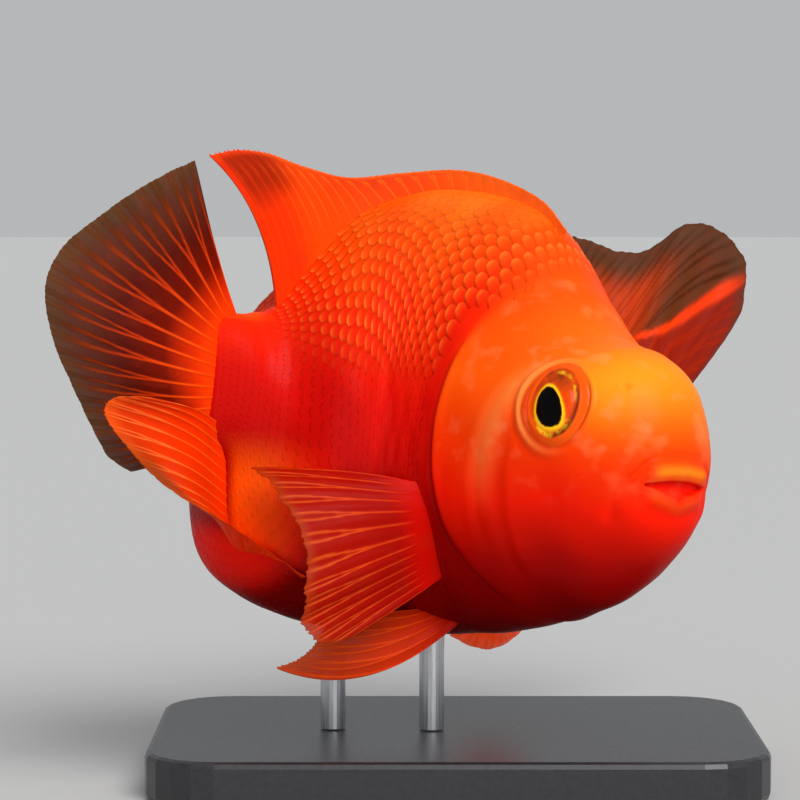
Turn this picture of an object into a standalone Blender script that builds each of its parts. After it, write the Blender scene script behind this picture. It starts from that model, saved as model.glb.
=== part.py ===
"""Blood parrot cichlid, still life-size model on a display stand.

The fish is first described straight: s runs back from the mouth, side to its left and h upward,
in millimetres. Its midline is then bent in plan, the fish is pitched nose down and rolled a
little, and it is set over the stand. World +X points from the tail to the head along the chord
of the bend, +Z is up, and the origin is the middle of the base's underside.
"""
import bpy
import bmesh
import numpy as np

MM = 0.001

# Body: each row is one ring, with the place of its top, bottom and side points and its half width
# Columns: top s, top h, bottom s, bottom h, side s, side h, half width
RINGS = np.array([
    [0.0, -10.0, 0.0, -10.0, 0.0, -10.0, 0.0],
    [0.2, -4.8, 0.4, -15.5, 1.0, -9.8, 7.0],
    [1.3, 1.6, 2.2, -22.8, 4.0, -8.3, 11.2],
    [5.3, 8.8, 8.0, -29.2, 10.5, -5.3, 15.4],
    [12.8, 13.0, 17.0, -35.2, 19.0, -3.2, 19.0],
    [23.0, 15.6, 29.0, -39.7, 29.0, -3.0, 21.9],
    [31.8, 24.2, 43.0, -43.5, 41.0, -5.0, 24.0],
    [43.0, 36.5, 56.0, -45.5, 54.0, -7.0, 25.0],
    [57.0, 41.0, 68.0, -46.5, 67.0, -9.0, 25.0],
    [71.0, 41.0, 81.0, -47.0, 79.0, -11.0, 24.5],
    [84.5, 35.3, 94.5, -44.8, 90.5, -14.5, 23.8],
    [94.3, 24.4, 107.3, -38.5, 102.5, -15.0, 20.2],
    [101.8, 15.6, 112.5, -27.5, 108.5, -7.0, 11.0],
    [110.5, 13.6, 114.0, -15.0, 113.0, 0.5, 6.0],
    [118.5, 13.0, 118.5, -12.0, 118.5, 0.8, 3.4],
])
ROUND_ABOVE = 1.9
ROUND_BELOW = 2.1

# Bend of the midline in plan, as headings towards the viewer's side, and the pose
HEAD_HEADING = 52.0
TAIL_HEADING = -50.0
FIN_HEADING = -10.0
BEND_START = 40.0
BEND_END = 108.0
FIN_BEND_START = 116.0
FIN_BEND_LENGTH = 30.0
BEND_CENTRE = 62.0
PITCH = 5.0
ROLL = -4.0
LIFT = 74.0

GAP = 0.3
RING_SEGMENTS = 40
HEAD_RINGS = 17
TRUNK_RINGS = 16
TAIL_RINGS = 5

# Joints between head, trunk and tail, as places along the rings from 0 to 1
GILL_T = 0.41
GILL_T_BULGE = 0.066
TAIL_T = 0.845
JOINT_GAP_T = 0.004
NOSE_T = 0.010

# Gill covers: oval plates laid in the flank
GILL_COVER_T = 0.402
GILL_COVER_T_RADIUS = 0.070
GILL_COVER_PHI = 5.0
GILL_COVER_PHI_RADIUS = 36.0
GILL_COVER_PROUD = 0.6
GILL_COVER_DEEP = 1.1
GILL_COVER_SEGMENTS = 28
GILL_COVER_SWEEP = 0.05
GILL_COVER_MARGIN_T = 0.0032
GILL_COVER_MARGIN_PHI = 1.0

# Eyes, with a low fold of skin round each
EYE_S = 16.4
EYE_H = 1.4
EYE_RADIUS = 8.6
EYE_BULGE = 4.6
EYE_SUNK = 2.8
EYE_WIDE = 0.9
EYE_RIM_RADIUS = 7.6
EYE_RIM_THICK = 1.3
EYE_RIM_SUNK = 0.9

# Mouth, lips and nostrils
LIP_HALF_WIDTH = 7.2
LIP_FRONT = -0.5
LIP_SWEEP = 0.034
LIP_RADIUS = 1.7
LIP_ABOVE = 1.5
LIP_BELOW = 1.4
LIP_SETBACK = 0.6
LIP_TAPER = 0.55
MOUTH_H = -11.2
MOUTH_OPEN = 0.3
MOUTH_CUSP = 3.2
MOUTH_DEPTH = 5.0
MOUTH_TAPER = 0.45
MOUTH_BACK = 0.3
MOUTH_AHEAD = 4.0
MOUTH_SPARE = 0.4
NOSTRIL_S = 7.0
NOSTRIL_H = 5.5
NOSTRIL_RADIUS = 1.0

# Fin sheets
FIN_ROOT_THICK = 2.4
WEB_THICK = 0.62
TIP_THICK = 0.5
RAY_RELIEF = 0.55
PAIRED_ROOT_DEPTH = 4.0
PAIRED_ROWS = 9

# Median fins: roots as (s, h) sunk in the body, tips as (s, side, h), bows of first and last ray
SIDE_SWING = 1.6
DORSAL_RAYS = 29
DORSAL_SPINES = 16
DORSAL_ROWS = 7
DORSAL_BOWS = (0.10, 0.26)
DORSAL_ROOT = [(40, 32.5), (52, 37.0), (64, 38.0), (76, 36.0), (87, 30.5), (94.5, 22.0), (101.8, 13.6)]
DORSAL_TIP = [(38, 0, 35.0), (45, 0, 40.3), (56, 0, 44.5), (66, 0, 46.0), (77, 0, 44.5), (88, 0, 42.5),
              (98, 0, 43.5), (108, 0, 45.0), (116, 1, 44.8), (123, 2, 43.0)]
CAUDAL_RAYS = 16
CAUDAL_ROWS = 9
CAUDAL_BOWS = (-0.05, -0.08)
CAUDAL_ROOT = [(112.5, 11.8), (115.0, 8.0), (115.5, 1.5), (115.0, -5.0), (114.5, -10.6)]
CAUDAL_TIP = [(129.5, -4, 41.0), (134, -3, 38.2), (140, -2, 33.5), (145, -1, 29.0), (151, 0, 23.2),
              (153.8, 1, 17.0), (153.5, 2, 11.0), (151, 3, 3.5), (148, 4, -2.0), (144.5, 6, -7.5),
              (141, 7, -12.5), (137.5, 8, -16.5), (131.5, 8, -19.0)]
ANAL_RAYS = 17
ANAL_ROWS = 8
ANAL_BOWS = (-0.05, 0.08)
ANAL_ROOT = [(93, -40.5), (98.5, -38.0), (102.5, -34.0), (105.8, -28.5), (108.3, -22.5), (110.2, -16.2),
             (111.5, -10.0)]
ANAL_TIP = [(102, -15.3, -36.0), (109.8, -10.5, -31.2), (120, -10, -27.0), (128.5, -12, -23.0),
            (134.8, -13, -18.5), (139.2, -13, -13.2), (142.5, -12.5, -7.5), (141, -12, -4.5),
            (137, -11, -4.0)]

# Paired fins: roots as two (s, h) places on the flank, ray tips as (x, y, z) from the bend's centre
NEAR_PECTORAL_ROOT_S = (45.8, 46.3)
NEAR_PECTORAL_ROOT_H = (-17.8, -33.5)
FAR_PECTORAL_ROOT_S = (50.0, 51.5)
FAR_PECTORAL_ROOT_H = (-17.5, -29.5)
PECTORAL_RAYS = 14
PECTORAL_BOW = 4.0
NEAR_PECTORAL_SAG = -4.0
FAR_PECTORAL_SAG = 0.0
NEAR_PECTORAL_TIP = [(-41, -26, -10.6), (-37.7, -30, -12.3), (-34.9, -33, -15), (-31.8, -36, -18.7),
                     (-29.5, -38, -24.1), (-29.4, -40, -30.9), (-29.5, -41, -34.6), (-30.1, -41, -38.7),
                     (-28.5, -40, -41.3), (-25.8, -38, -42.9), (-20.8, -35, -42.4)]
FAR_PECTORAL_TIP = [(25, 40, 32.2), (30, 44, 31), (35.3, 47, 28.9), (41.7, 49, 29), (50.2, 52, 34.5),
                    (57.5, 54, 33.4), (62.7, 54, 27.6), (62.8, 53, 21.9), (61.2, 51, 14.4), (55.6, 48, 6.9),
                    (49.7, 45, 0)]
PELVIC_ROOT_S = (48.5, 56.5)
PELVIC_ROOT_H = (-43.3, -43.8)
PELVIC_RAYS = 6
PELVIC_BOW = 2.0
NEAR_PELVIC_SAG = 12.0
FAR_PELVIC_SAG = 3.0
NEAR_PELVIC_TIP = [(-34.9, -30, -48.3), (-31, -30, -47), (-28, -29, -44.8), (-26, -28.5, -42),
                   (-24.5, -28, -39.3), (-22.5, -27, -37)]
FAR_PELVIC_TIP = [(15.8, 18, -43.5), (13.8, 20, -48.5), (10.5, 21, -51.5), (7, 22, -52.6), (3, 21, -51.5),
                  (-1, 20, -49.3)]

# Stand
BASE_LENGTH = 120.0
BASE_WIDTH = 78.0
BASE_HEIGHT = 9.0
BASE_CORNER = 14.0
BASE_BEVEL = 1.2
ROD_DIAMETER = 5.0
ROD_S = (62.0, 84.0)
ROD_TOP_DEPTH = 4.0


def spline_rows(values, t):
    """Cubic through equally spaced rows, with each slope from the two neighbours."""
    values = np.asarray(values, float)
    last = len(values) - 1
    slope = np.zeros_like(values)
    slope[1:-1] = (values[2:] - values[:-2]) / 2.0
    slope[0] = values[1] - values[0]
    slope[-1] = values[-1] - values[-2]
    x = np.clip(np.asarray(t, float), 0.0, 1.0) * last
    i = np.clip(np.floor(x).astype(int), 0, last - 1)
    f = (x - i)[..., None]
    return ((2 * f**3 - 3 * f**2 + 1) * values[i] + (f**3 - 2 * f**2 + f) * slope[i]
            + (3 * f**2 - 2 * f**3) * values[i + 1] + (f**3 - f**2) * slope[i + 1])


def body_point(t, phi):
    """Straight-fish point at ring t and angle phi: 0 is the left side, 90 degrees the back."""
    row = spline_rows(RINGS, t)
    top_s, top_h, low_s, low_h, side_s, side_h, half = np.moveaxis(row, -1, 0)
    c = np.cos(phi)
    q = np.sin(phi)
    power = 2.0 / np.where(q >= 0, ROUND_ABOVE, ROUND_BELOW)
    end_s = np.where(q >= 0, top_s, low_s)
    end_h = np.where(q >= 0, top_h, low_h)
    s = side_s + (end_s - side_s) * q**2
    h = side_h + (end_h - side_h) * np.abs(q)**power
    return np.stack([s, half * np.sign(c) * np.abs(c)**power, h], -1)


def smooth(x):
    x = np.clip(x, 0.0, 1.0)
    return x * x * (3 - 2 * x)


def heading(s):
    """Heading of the midline in radians, eased over the trunk and again into the tail fin."""
    u = np.clip((s - BEND_START) / (BEND_END - BEND_START), 0.0, 1.0)
    mix = 0.5 * u + 0.5 * smooth(u)
    angle = HEAD_HEADING + (TAIL_HEADING - HEAD_HEADING) * mix
    fin = smooth((s - FIN_BEND_START) / FIN_BEND_LENGTH)
    return np.radians(angle + (FIN_HEADING - TAIL_HEADING) * fin)


def midline():
    """Plan of the midline, summed from its heading in short steps."""
    s = np.linspace(-10.0, 190.0, 801)
    angle = heading(s)
    step = s[1] - s[0]
    x = np.concatenate([[0.0], np.cumsum(-(np.cos(angle[1:]) + np.cos(angle[:-1])) / 2 * step)])
    y = np.concatenate([[0.0], np.cumsum((np.sin(angle[1:]) + np.sin(angle[:-1])) / 2 * step)])
    x = x - np.interp(BEND_CENTRE, s, x)
    y = y - np.interp(BEND_CENTRE, s, y)
    return s, x, y, angle


MIDLINE = midline()


def tilt(p):
    """Pitch about the cross axis, then roll about the long one, both through the bend's centre."""
    a = np.radians(PITCH)
    b = np.radians(ROLL)
    x = p[..., 0] * np.cos(a) + p[..., 2] * np.sin(a)
    z = p[..., 2] * np.cos(a) - p[..., 0] * np.sin(a)
    y = p[..., 1] * np.cos(b) - z * np.sin(b)
    return np.stack([x, y, p[..., 1] * np.sin(b) + z * np.cos(b)], -1)


def place(p):
    """Straight-fish point in millimetres to its world place in millimetres."""
    p = np.asarray(p, float)
    s, mx, my, angle = MIDLINE
    turn = np.interp(p[..., 0], s, angle)
    x = np.interp(p[..., 0], s, mx) + p[..., 1] * np.sin(turn)
    y = np.interp(p[..., 0], s, my) + p[..., 1] * np.cos(turn)
    return lift(tilt(np.stack([x, y, p[..., 2]], -1)))


def lift(p):
    return p + np.array([0.0, 0.0, LIFT])


def body_world(t, phi, offset=0.0):
    """World point on the body, moved out along the surface's normal by offset."""
    p = place(body_point(t, phi))
    if np.all(np.asarray(offset) == 0.0):
        return p
    dt = 0.002
    dphi = 0.01
    low_t = np.clip(t - dt, 0.0, 1.0)
    high_t = np.clip(t + dt, 0.0, 1.0)
    along = place(body_point(high_t, phi)) - place(body_point(low_t, phi))
    round_ = place(body_point(t, phi + dphi)) - place(body_point(t, phi - dphi))
    normal = np.cross(along, round_)
    size = np.linalg.norm(normal, axis=-1, keepdims=True)
    normal = normal / np.maximum(size, 1e-9)
    return p + normal * np.asarray(offset)[..., None]


def make_object(name, points, faces):
    """Mesh object from points in millimetres."""
    mesh = bpy.data.meshes.new(name)
    mesh.from_pydata((np.asarray(points, float) * MM).tolist(), [], [tuple(f) for f in faces])
    mesh.validate()
    bm = bmesh.new()
    bm.from_mesh(mesh)
    bmesh.ops.recalc_face_normals(bm, faces=bm.faces)
    if bm.calc_volume(signed=True) < 0:
        bmesh.ops.reverse_faces(bm, faces=bm.faces)
    bm.to_mesh(mesh)
    bm.free()
    obj = bpy.data.objects.new(name, mesh)
    bpy.context.scene.collection.objects.link(obj)
    return obj


def ring_faces(rings, segments):
    """Quads between successive closed rings."""
    faces = []
    for i in range(rings - 1):
        for j in range(segments):
            k = (j + 1) % segments
            faces.append((i * segments + j, i * segments + k, (i + 1) * segments + k,
                          (i + 1) * segments + j))
    return faces


def fan(start, segments, centre):
    return [(start + j, start + (j + 1) % segments, centre) for j in range(segments)]


def ring_angles():
    return np.linspace(0.0, 2 * np.pi, RING_SEGMENTS, endpoint=False)


def gill_line(phi):
    return GILL_T + GILL_T_BULGE * np.cos(phi)**2


def ring_places():
    """Ring places of head, trunk and tail, each as rings by angles, with the thin gaps between."""
    phi = ring_angles()
    gap = JOINT_GAP_T / 2
    ends = ((np.full(phi.shape, NOSE_T), gill_line(phi) - gap, HEAD_RINGS),
            (gill_line(phi) + gap, np.full(phi.shape, TAIL_T - gap), TRUNK_RINGS),
            (np.full(phi.shape, TAIL_T + gap), np.ones(phi.shape), TAIL_RINGS))
    places = []
    for first, last, rings in ends:
        share = np.linspace(0.0, 1.0, rings)[:, None]
        places.append(first * (1 - share) + last * share)
    return places


def body_piece(name, t, offset=0.0):
    """Closed length of the body over the rings t, grown by offset, its ends closed by fans."""
    rings = len(t)
    grid = body_world(t, np.broadcast_to(ring_angles(), t.shape), np.full(t.shape, offset))
    first = grid[0].mean(0)
    last = grid[-1].mean(0)
    if offset:
        last = last + offset * (last - grid[-2].mean(0)) / np.linalg.norm(last - grid[-2].mean(0))
        first = first + offset * (first - grid[2].mean(0)) / np.linalg.norm(first - grid[2].mean(0))
    count = rings * RING_SEGMENTS
    points = np.concatenate([grid.reshape(-1, 3), [first, last]])
    faces = ring_faces(rings, RING_SEGMENTS)
    faces += fan(0, RING_SEGMENTS, count)
    faces += fan(count - RING_SEGMENTS, RING_SEGMENTS, count + 1)
    return make_object(name, points, faces)


def material(name, colour, roughness):
    mat = bpy.data.materials.new(name)
    mat.use_nodes = True
    shader = mat.node_tree.nodes["Principled BSDF"]
    shader.inputs["Base Color"].default_value = (*colour, 1.0)
    shader.inputs["Roughness"].default_value = roughness
    shader.inputs["Metallic"].default_value = 0.0
    return mat


def finish(obj, colour, roughness):
    """Give a node its own material and smooth shading with sharp edges kept."""
    obj.data.materials.clear()
    obj.data.materials.append(material(obj.name + "_finish", colour, roughness))
    obj.data.shade_smooth()
    obj.data.set_sharp_from_angle(angle=np.radians(40.0))
    return obj


def keep_largest(obj):
    """Keep only the largest closed surface of a mesh."""
    bm = bmesh.new()
    bm.from_mesh(obj.data)
    bm.faces.ensure_lookup_table()
    seen = set()
    groups = []
    for face in bm.faces:
        if face.index in seen:
            continue
        group = [face]
        seen.add(face.index)
        for item in group:
            for edge in item.edges:
                for other in edge.link_faces:
                    if other.index not in seen:
                        seen.add(other.index)
                        group.append(other)
        groups.append(group)
    groups.sort(key=lambda g: -sum(f.calc_area() for f in g))
    loose = [f for g in groups[1:] for f in g]
    bmesh.ops.delete(bm, geom=loose, context="FACES")
    bm.to_mesh(obj.data)
    bm.free()


def boolean(target, tools, operation, solver="EXACT"):
    """Apply one Boolean with a collection of closed tools, then remove the tools."""
    group = bpy.data.collections.new("tools")
    for tool in tools:
        group.objects.link(tool)
    modifier = target.modifiers.new("Boolean", "BOOLEAN")
    modifier.operand_type = "COLLECTION"
    modifier.collection = group
    modifier.operation = operation
    modifier.solver = solver
    depsgraph = bpy.context.evaluated_depsgraph_get()
    mesh = bpy.data.meshes.new_from_object(target.evaluated_get(depsgraph))
    target.modifiers.clear()
    target.data = mesh
    for tool in tools:
        bpy.data.objects.remove(tool, do_unlink=True)
    bpy.data.collections.remove(group)
    keep_largest(target)


def body_guard():
    """The whole body, grown by the gap, that other pieces are cut with."""
    return body_piece("guard", np.concatenate(ring_places()), GAP)


def surface_spot(s, h, side):
    """World point and outward normal on the flank at straight-fish s and h."""
    t, phi = np.meshgrid(np.linspace(0.01, 1.0, 400), np.linspace(-np.pi / 2, np.pi / 2, 241),
                         indexing="ij")
    if side < 0:
        phi = np.pi - phi
    p = body_point(t, phi)
    k = np.argmin((p[..., 0] - s)**2 + (p[..., 2] - h)**2)
    t0 = t.ravel()[k]
    phi0 = phi.ravel()[k]
    here = body_world(t0, phi0)
    normal = body_world(t0, phi0, np.array(1.0)) - here
    return here, normal / np.linalg.norm(normal)


def frame_about(normal):
    """Two axes square to a normal, the second as near upright as it can be."""
    across = np.cross([0.0, 0.0, 1.0], normal)
    across = across / np.linalg.norm(across)
    return across, np.cross(normal, across)


def spheroid(name, centre, normal, radii, depth, segments=22, rings=11):
    """Ball flattened along a normal, its radii given across and upright."""
    across, upright = frame_about(normal)
    theta = np.linspace(0.0, np.pi, rings + 1)[1:-1]
    angle = np.linspace(0.0, 2 * np.pi, segments, endpoint=False)
    ring, turn = np.meshgrid(theta, angle, indexing="ij")
    points = (centre + (np.sin(ring) * np.cos(turn))[..., None] * across * radii[0]
              + (np.sin(ring) * np.sin(turn))[..., None] * upright * radii[1]
              + np.cos(ring)[..., None] * normal * depth).reshape(-1, 3)
    count = len(points)
    points = np.concatenate([points, [centre + normal * depth, centre - normal * depth]])
    faces = ring_faces(rings - 1, segments) + fan(0, segments, count)
    faces += fan(count - segments, segments, count + 1)
    return make_object(name, points, faces)


def tube(name, path, radius, sides, upright):
    """Closed tube along a path, its radius given at each point."""
    path = np.asarray(path, float)
    along = np.gradient(path, axis=0)
    along = along / np.linalg.norm(along, axis=1, keepdims=True)
    out = np.cross(along, upright)
    out = out / np.linalg.norm(out, axis=1, keepdims=True)
    rise = np.cross(out, along)
    angle = np.linspace(0.0, 2 * np.pi, sides, endpoint=False)
    ring = (out[:, None] * np.cos(angle)[None, :, None] + rise[:, None] * np.sin(angle)[None, :, None])
    points = (path[:, None] + ring * np.asarray(radius)[:, None, None]).reshape(-1, 3)
    count = len(points)
    points = np.concatenate([points, [path[0], path[-1]]])
    faces = ring_faces(len(path), sides) + fan(0, sides, count)
    faces += fan(count - sides, sides, count + 1)
    return make_object(name, points, faces)


def ring_tube(name, centre, normal, major, minor, wide, segments=24, sides=8):
    """Torus round a normal, its width across times wide."""
    across, upright = frame_about(normal)
    turn = np.linspace(0.0, 2 * np.pi, segments, endpoint=False)
    angle = np.linspace(0.0, 2 * np.pi, sides, endpoint=False)
    spoke = np.cos(turn)[:, None] * across * wide + np.sin(turn)[:, None] * upright
    reach = major + minor * np.cos(angle)
    points = (centre + spoke[:, None] * reach[None, :, None]
              + (minor * np.sin(angle))[None, :, None] * normal).reshape(-1, 3)
    faces = []
    for i in range(segments):
        for j in range(sides):
            k = (i + 1) % segments
            m = (j + 1) % sides
            faces.append((i * sides + j, i * sides + m, k * sides + m, k * sides + j))
    return make_object(name, points, faces)


def gill_plate(name, side, grow=0.0):
    """Oval plate that follows the flank: a disc of rings in ring place and angle."""
    radii = np.array([0.0, 0.5, 0.8, 1.0])
    turn = np.linspace(0.0, 2 * np.pi, GILL_COVER_SEGMENTS, endpoint=False)
    t_radius = GILL_COVER_T_RADIUS + GILL_COVER_MARGIN_T * grow / GAP
    phi_radius = np.radians(GILL_COVER_PHI_RADIUS + GILL_COVER_MARGIN_PHI * grow / GAP)
    middle = np.pi + np.radians(GILL_COVER_PHI) if side < 0 else -np.radians(GILL_COVER_PHI)
    layers = []
    for offset in (GILL_COVER_PROUD + grow, -GILL_COVER_DEEP - grow):
        rho, angle = np.meshgrid(radii[1:], turn, indexing="ij")
        t = GILL_COVER_T + t_radius * rho * np.cos(angle) - GILL_COVER_SWEEP * smooth(rho * np.sin(angle))
        phi = middle - side * phi_radius * rho * np.sin(angle)
        rise = np.full(t.shape, offset)
        grid = body_world(t, phi, rise)
        hub = body_world(np.array(GILL_COVER_T), np.array(middle), np.array(offset))
        layers.append((grid.reshape(-1, 3), hub))
    count = len(layers[0][0])
    points = np.concatenate([layers[0][0], layers[1][0], [layers[0][1], layers[1][1]]])
    n = GILL_COVER_SEGMENTS
    faces = ring_faces(3, n) + fan(0, n, 2 * count)
    faces += [tuple(i + count for i in f) for f in ring_faces(3, n)] + fan(count, n, 2 * count + 1)
    rim = count - n
    faces += [(rim + j, rim + (j + 1) % n, rim + (j + 1) % n + count, rim + j + count)
              for j in range(n)]
    return make_object(name, points, faces)


def make_body():
    """Head, trunk and tail with thin gaps between them, and the gill covers let in."""
    head, trunk, tail = (body_piece(name, t) for name, t in zip(("head", "trunk", "tail"), ring_places()))
    for side, word in ((-1, "right"), (1, "left")):
        cover = gill_plate("gill_cover_" + word, side)
        finish(cover, (0.80, 0.09, 0.01), 0.35)
        for part in (head, trunk):
            boolean(part, [gill_plate("cut", side, GAP)], "DIFFERENCE")
    add_face(head)
    finish(head, (0.86, 0.16, 0.02), 0.35)
    finish(trunk, (0.72, 0.06, 0.01), 0.38)
    finish(tail, (0.62, 0.04, 0.01), 0.4)


def mouth_cusp(across):
    """How far the lower edge of the mouth hangs below the upper one: a shallow V."""
    return MOUTH_CUSP * (1.0 - np.minimum(np.abs(across) / LIP_HALF_WIDTH, 1.0))


def lip(name, above, cusp):
    """Tapered tube along the front of the mouth, from corner to corner.

    It runs at the height above over the mouth's line, less the share cusp of the line's own fall.
    """
    across = np.linspace(-LIP_HALF_WIDTH, LIP_HALF_WIDTH, 13)
    s = LIP_FRONT + LIP_SWEEP * across**2 + LIP_SETBACK
    h = MOUTH_H + above - cusp * mouth_cusp(across)
    path = place(np.stack([s, across, h], -1))
    radius = LIP_RADIUS * (1.0 - LIP_TAPER * (np.abs(across) / LIP_HALF_WIDTH)**2)
    upright = place(np.array([10.0, 0.0, 1.0])) - place(np.array([10.0, 0.0, 0.0]))
    return tube(name, path, radius, 8, upright)


def mouth_opening():
    """Wedge between the lips, straight above and a shallow V below."""
    across = np.linspace(-LIP_HALF_WIDTH - MOUTH_SPARE, LIP_HALF_WIDTH + MOUTH_SPARE, 13)
    s = LIP_FRONT + LIP_SWEEP * across**2
    top = np.full(across.shape, MOUTH_H + MOUTH_OPEN / 2)
    low = MOUTH_H - MOUTH_OPEN / 2 - mouth_cusp(across)
    depth = MOUTH_DEPTH * (1.0 - MOUTH_TAPER * (np.abs(across) / LIP_HALF_WIDTH)**2)
    back = (top + low) / 2
    rows = ((s - MOUTH_AHEAD, top), (s + depth, back + MOUTH_BACK / 2),
            (s + depth, back - MOUTH_BACK / 2), (s - MOUTH_AHEAD, low))
    grid = np.stack([place(np.stack([row_s, across, row_h], -1)) for row_s, row_h in rows], 1)
    count = len(across)
    faces = ring_faces(count, 4) + [(0, 1, 2, 3), tuple(4 * (count - 1) + k for k in range(4))]
    return make_object("opening", grid.reshape(-1, 3), faces)


def add_face(head):
    """Lips, mouth line, eye folds, sockets and nostrils on the head, and the eyes themselves."""
    rims = []
    sockets = []
    for side, word in ((-1, "right"), (1, "left")):
        spot, normal = surface_spot(EYE_S, EYE_H, side)
        centre = spot - normal * EYE_SUNK
        radii = np.array([EYE_RADIUS * EYE_WIDE, EYE_RADIUS])
        rims.append(ring_tube("rim", spot - normal * EYE_RIM_SUNK, normal, EYE_RIM_RADIUS, EYE_RIM_THICK,
                              EYE_WIDE))
        sockets.append(spheroid("socket", centre, normal, radii + GAP, EYE_BULGE + GAP))
        eye = spheroid("eye_" + word, centre, normal, radii, EYE_BULGE)
        finish(eye, (0.55, 0.20, 0.02), 0.12)
        nostril, away = surface_spot(NOSTRIL_S, NOSTRIL_H, side)
        sockets.append(spheroid("nostril", nostril, away, [NOSTRIL_RADIUS] * 2, NOSTRIL_RADIUS, 8, 6))
    lips = [lip("upper", LIP_ABOVE, 0.0), lip("lower", -LIP_BELOW, 1.0)]
    boolean(head, lips + rims, "UNION")
    boolean(head, sockets + [mouth_opening()], "DIFFERENCE")


def ray_grid(root, bend_at, tip, rows):
    """Rays as parabolas: each column runs from its root to its tip, drawn towards bend_at."""
    v = np.linspace(0.0, 1.0, rows)[None, :, None]
    return root[:, None] * (1 - v)**2 + 2 * bend_at[:, None] * v * (1 - v) + tip[:, None] * v**2


def sheet(name, grid, root_thick, ray_relief):
    """Closed fin round a grid of world points, its columns by turns ray and web.

    Both faces take the same triangles, and a ray is a thicker column of the sheet.
    """
    columns, rows = grid.shape[:2]
    normal = np.cross(np.gradient(grid, axis=0), np.gradient(grid, axis=1))
    normal = normal / np.maximum(np.linalg.norm(normal, axis=-1, keepdims=True), 1e-9)
    share = np.linspace(0.0, 1.0, rows)[None, :]
    thick = WEB_THICK + (root_thick - WEB_THICK) * (1 - share)**3 + (TIP_THICK - WEB_THICK) * share**3
    is_ray = (np.arange(columns) % 2 == 0)[:, None]
    thick = thick + np.where(is_ray, ray_relief * (1 - 0.75 * share), 0.0)
    points = np.concatenate([(grid + normal * thick[..., None] / 2).reshape(-1, 3),
                             (grid - normal * thick[..., None] / 2).reshape(-1, 3)])
    total = columns * rows
    faces = []
    for i in range(columns - 1):
        for j in range(rows - 1):
            a = i * rows + j
            b = a + rows
            if i % 2 == 0:
                pair = ((a, b, b + 1), (a, b + 1, a + 1))
            else:
                pair = ((a, b, a + 1), (b, b + 1, a + 1))
            for tri in pair:
                faces.append(tri)
                faces.append(tuple(total + k for k in reversed(tri)))
    edge = list(range(rows)) + [i * rows + rows - 1 for i in range(1, columns)]
    edge += [(columns - 1) * rows + j for j in range(rows - 2, -1, -1)]
    edge += [i * rows for i in range(columns - 2, 0, -1)]
    for k, here in enumerate(edge):
        there = edge[(k + 1) % len(edge)]
        faces.append((here, there, there + total))
        faces.append((here, there + total, here + total))
    return make_object(name, points, faces)


def along_curve(control, count):
    """Evenly spread samples of a smooth curve through control points."""
    return spline_rows(np.asarray(control, float), np.linspace(0.0, 1.0, count))


def columns_of(rays):
    return 2 * rays - 1


def median_fin(name, root, tip, rays, rows, bows, colour, split=None):
    """Fin in the midline, from roots as (s, h) and tips as (s, side, h); bows curve first and last ray."""
    columns = columns_of(rays)
    lean = np.linspace(bows[0], bows[1], columns)[:, None]
    r = along_curve(root, columns)
    p = along_curve(tip, columns)
    flat_tip = p[:, [0, 2]]
    bow = lean * np.stack([r[:, 1] - flat_tip[:, 1], flat_tip[:, 0] - r[:, 0]], -1)
    flat = ray_grid(r, (r + flat_tip) / 2 + bow, flat_tip, rows)
    side = p[:, 1:2] * np.linspace(0.0, 1.0, rows)[None, :]**SIDE_SWING
    grid = place(np.stack([flat[..., 0], side, flat[..., 1]], -1))
    for part_name, first, last in split_columns(name, columns, split):
        fin = sheet(part_name, part_of_grid(grid, first, last), FIN_ROOT_THICK, RAY_RELIEF)
        boolean(fin, [body_guard()], "DIFFERENCE", "MANIFOLD")
        finish(fin, colour, 0.4)


def split_columns(name, columns, split):
    """One fin, or a front and a rear one that part at the ray number split."""
    if split is None:
        return [(name, 0, columns - 1)]
    return [(name + "_front", 0, 2 * split), (name + "_rear", 2 * split, columns - 1)]


def part_of_grid(grid, first, last):
    """Columns from first to last, drawn back by half the gap where the fin goes on past them."""
    cut = grid[first:last + 1].copy()
    for end, inner, open_end in ((0, 1, first > 0), (-1, -2, last < len(grid) - 1)):
        if open_end:
            step = cut[inner] - cut[end]
            cut[end] += step / np.linalg.norm(step, axis=-1, keepdims=True) * GAP / 2
    return cut


def paired_fin(name, side, root_s, root_h, tips, rays, bow, sag, colour):
    """Fin rooted on the flank between two places, its ray tips given from the bend's centre.

    Rays bow out from the flank, and the first ones sag below the straight line.
    """
    columns = columns_of(rays)
    ends = [surface_spot(s, h, side) for s, h in zip(root_s, root_h)]
    spots = np.array([e[0] for e in ends])
    inward = -np.mean([e[1] for e in ends], axis=0)
    share = np.linspace(0.0, 1.0, columns)[:, None]
    root = spots[0] * (1 - share) + spots[1] * share + inward * PAIRED_ROOT_DEPTH
    tip = lift(along_curve(tips, columns))
    bend_at = (root + tip) / 2 - inward * bow - np.array([0.0, 0.0, 1.0]) * sag * (1 - share)**2
    fin = sheet(name, ray_grid(root, bend_at, tip, PAIRED_ROWS), FIN_ROOT_THICK, RAY_RELIEF)
    boolean(fin, [body_guard()], "DIFFERENCE", "MANIFOLD")
    return finish(fin, colour, 0.4)


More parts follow.
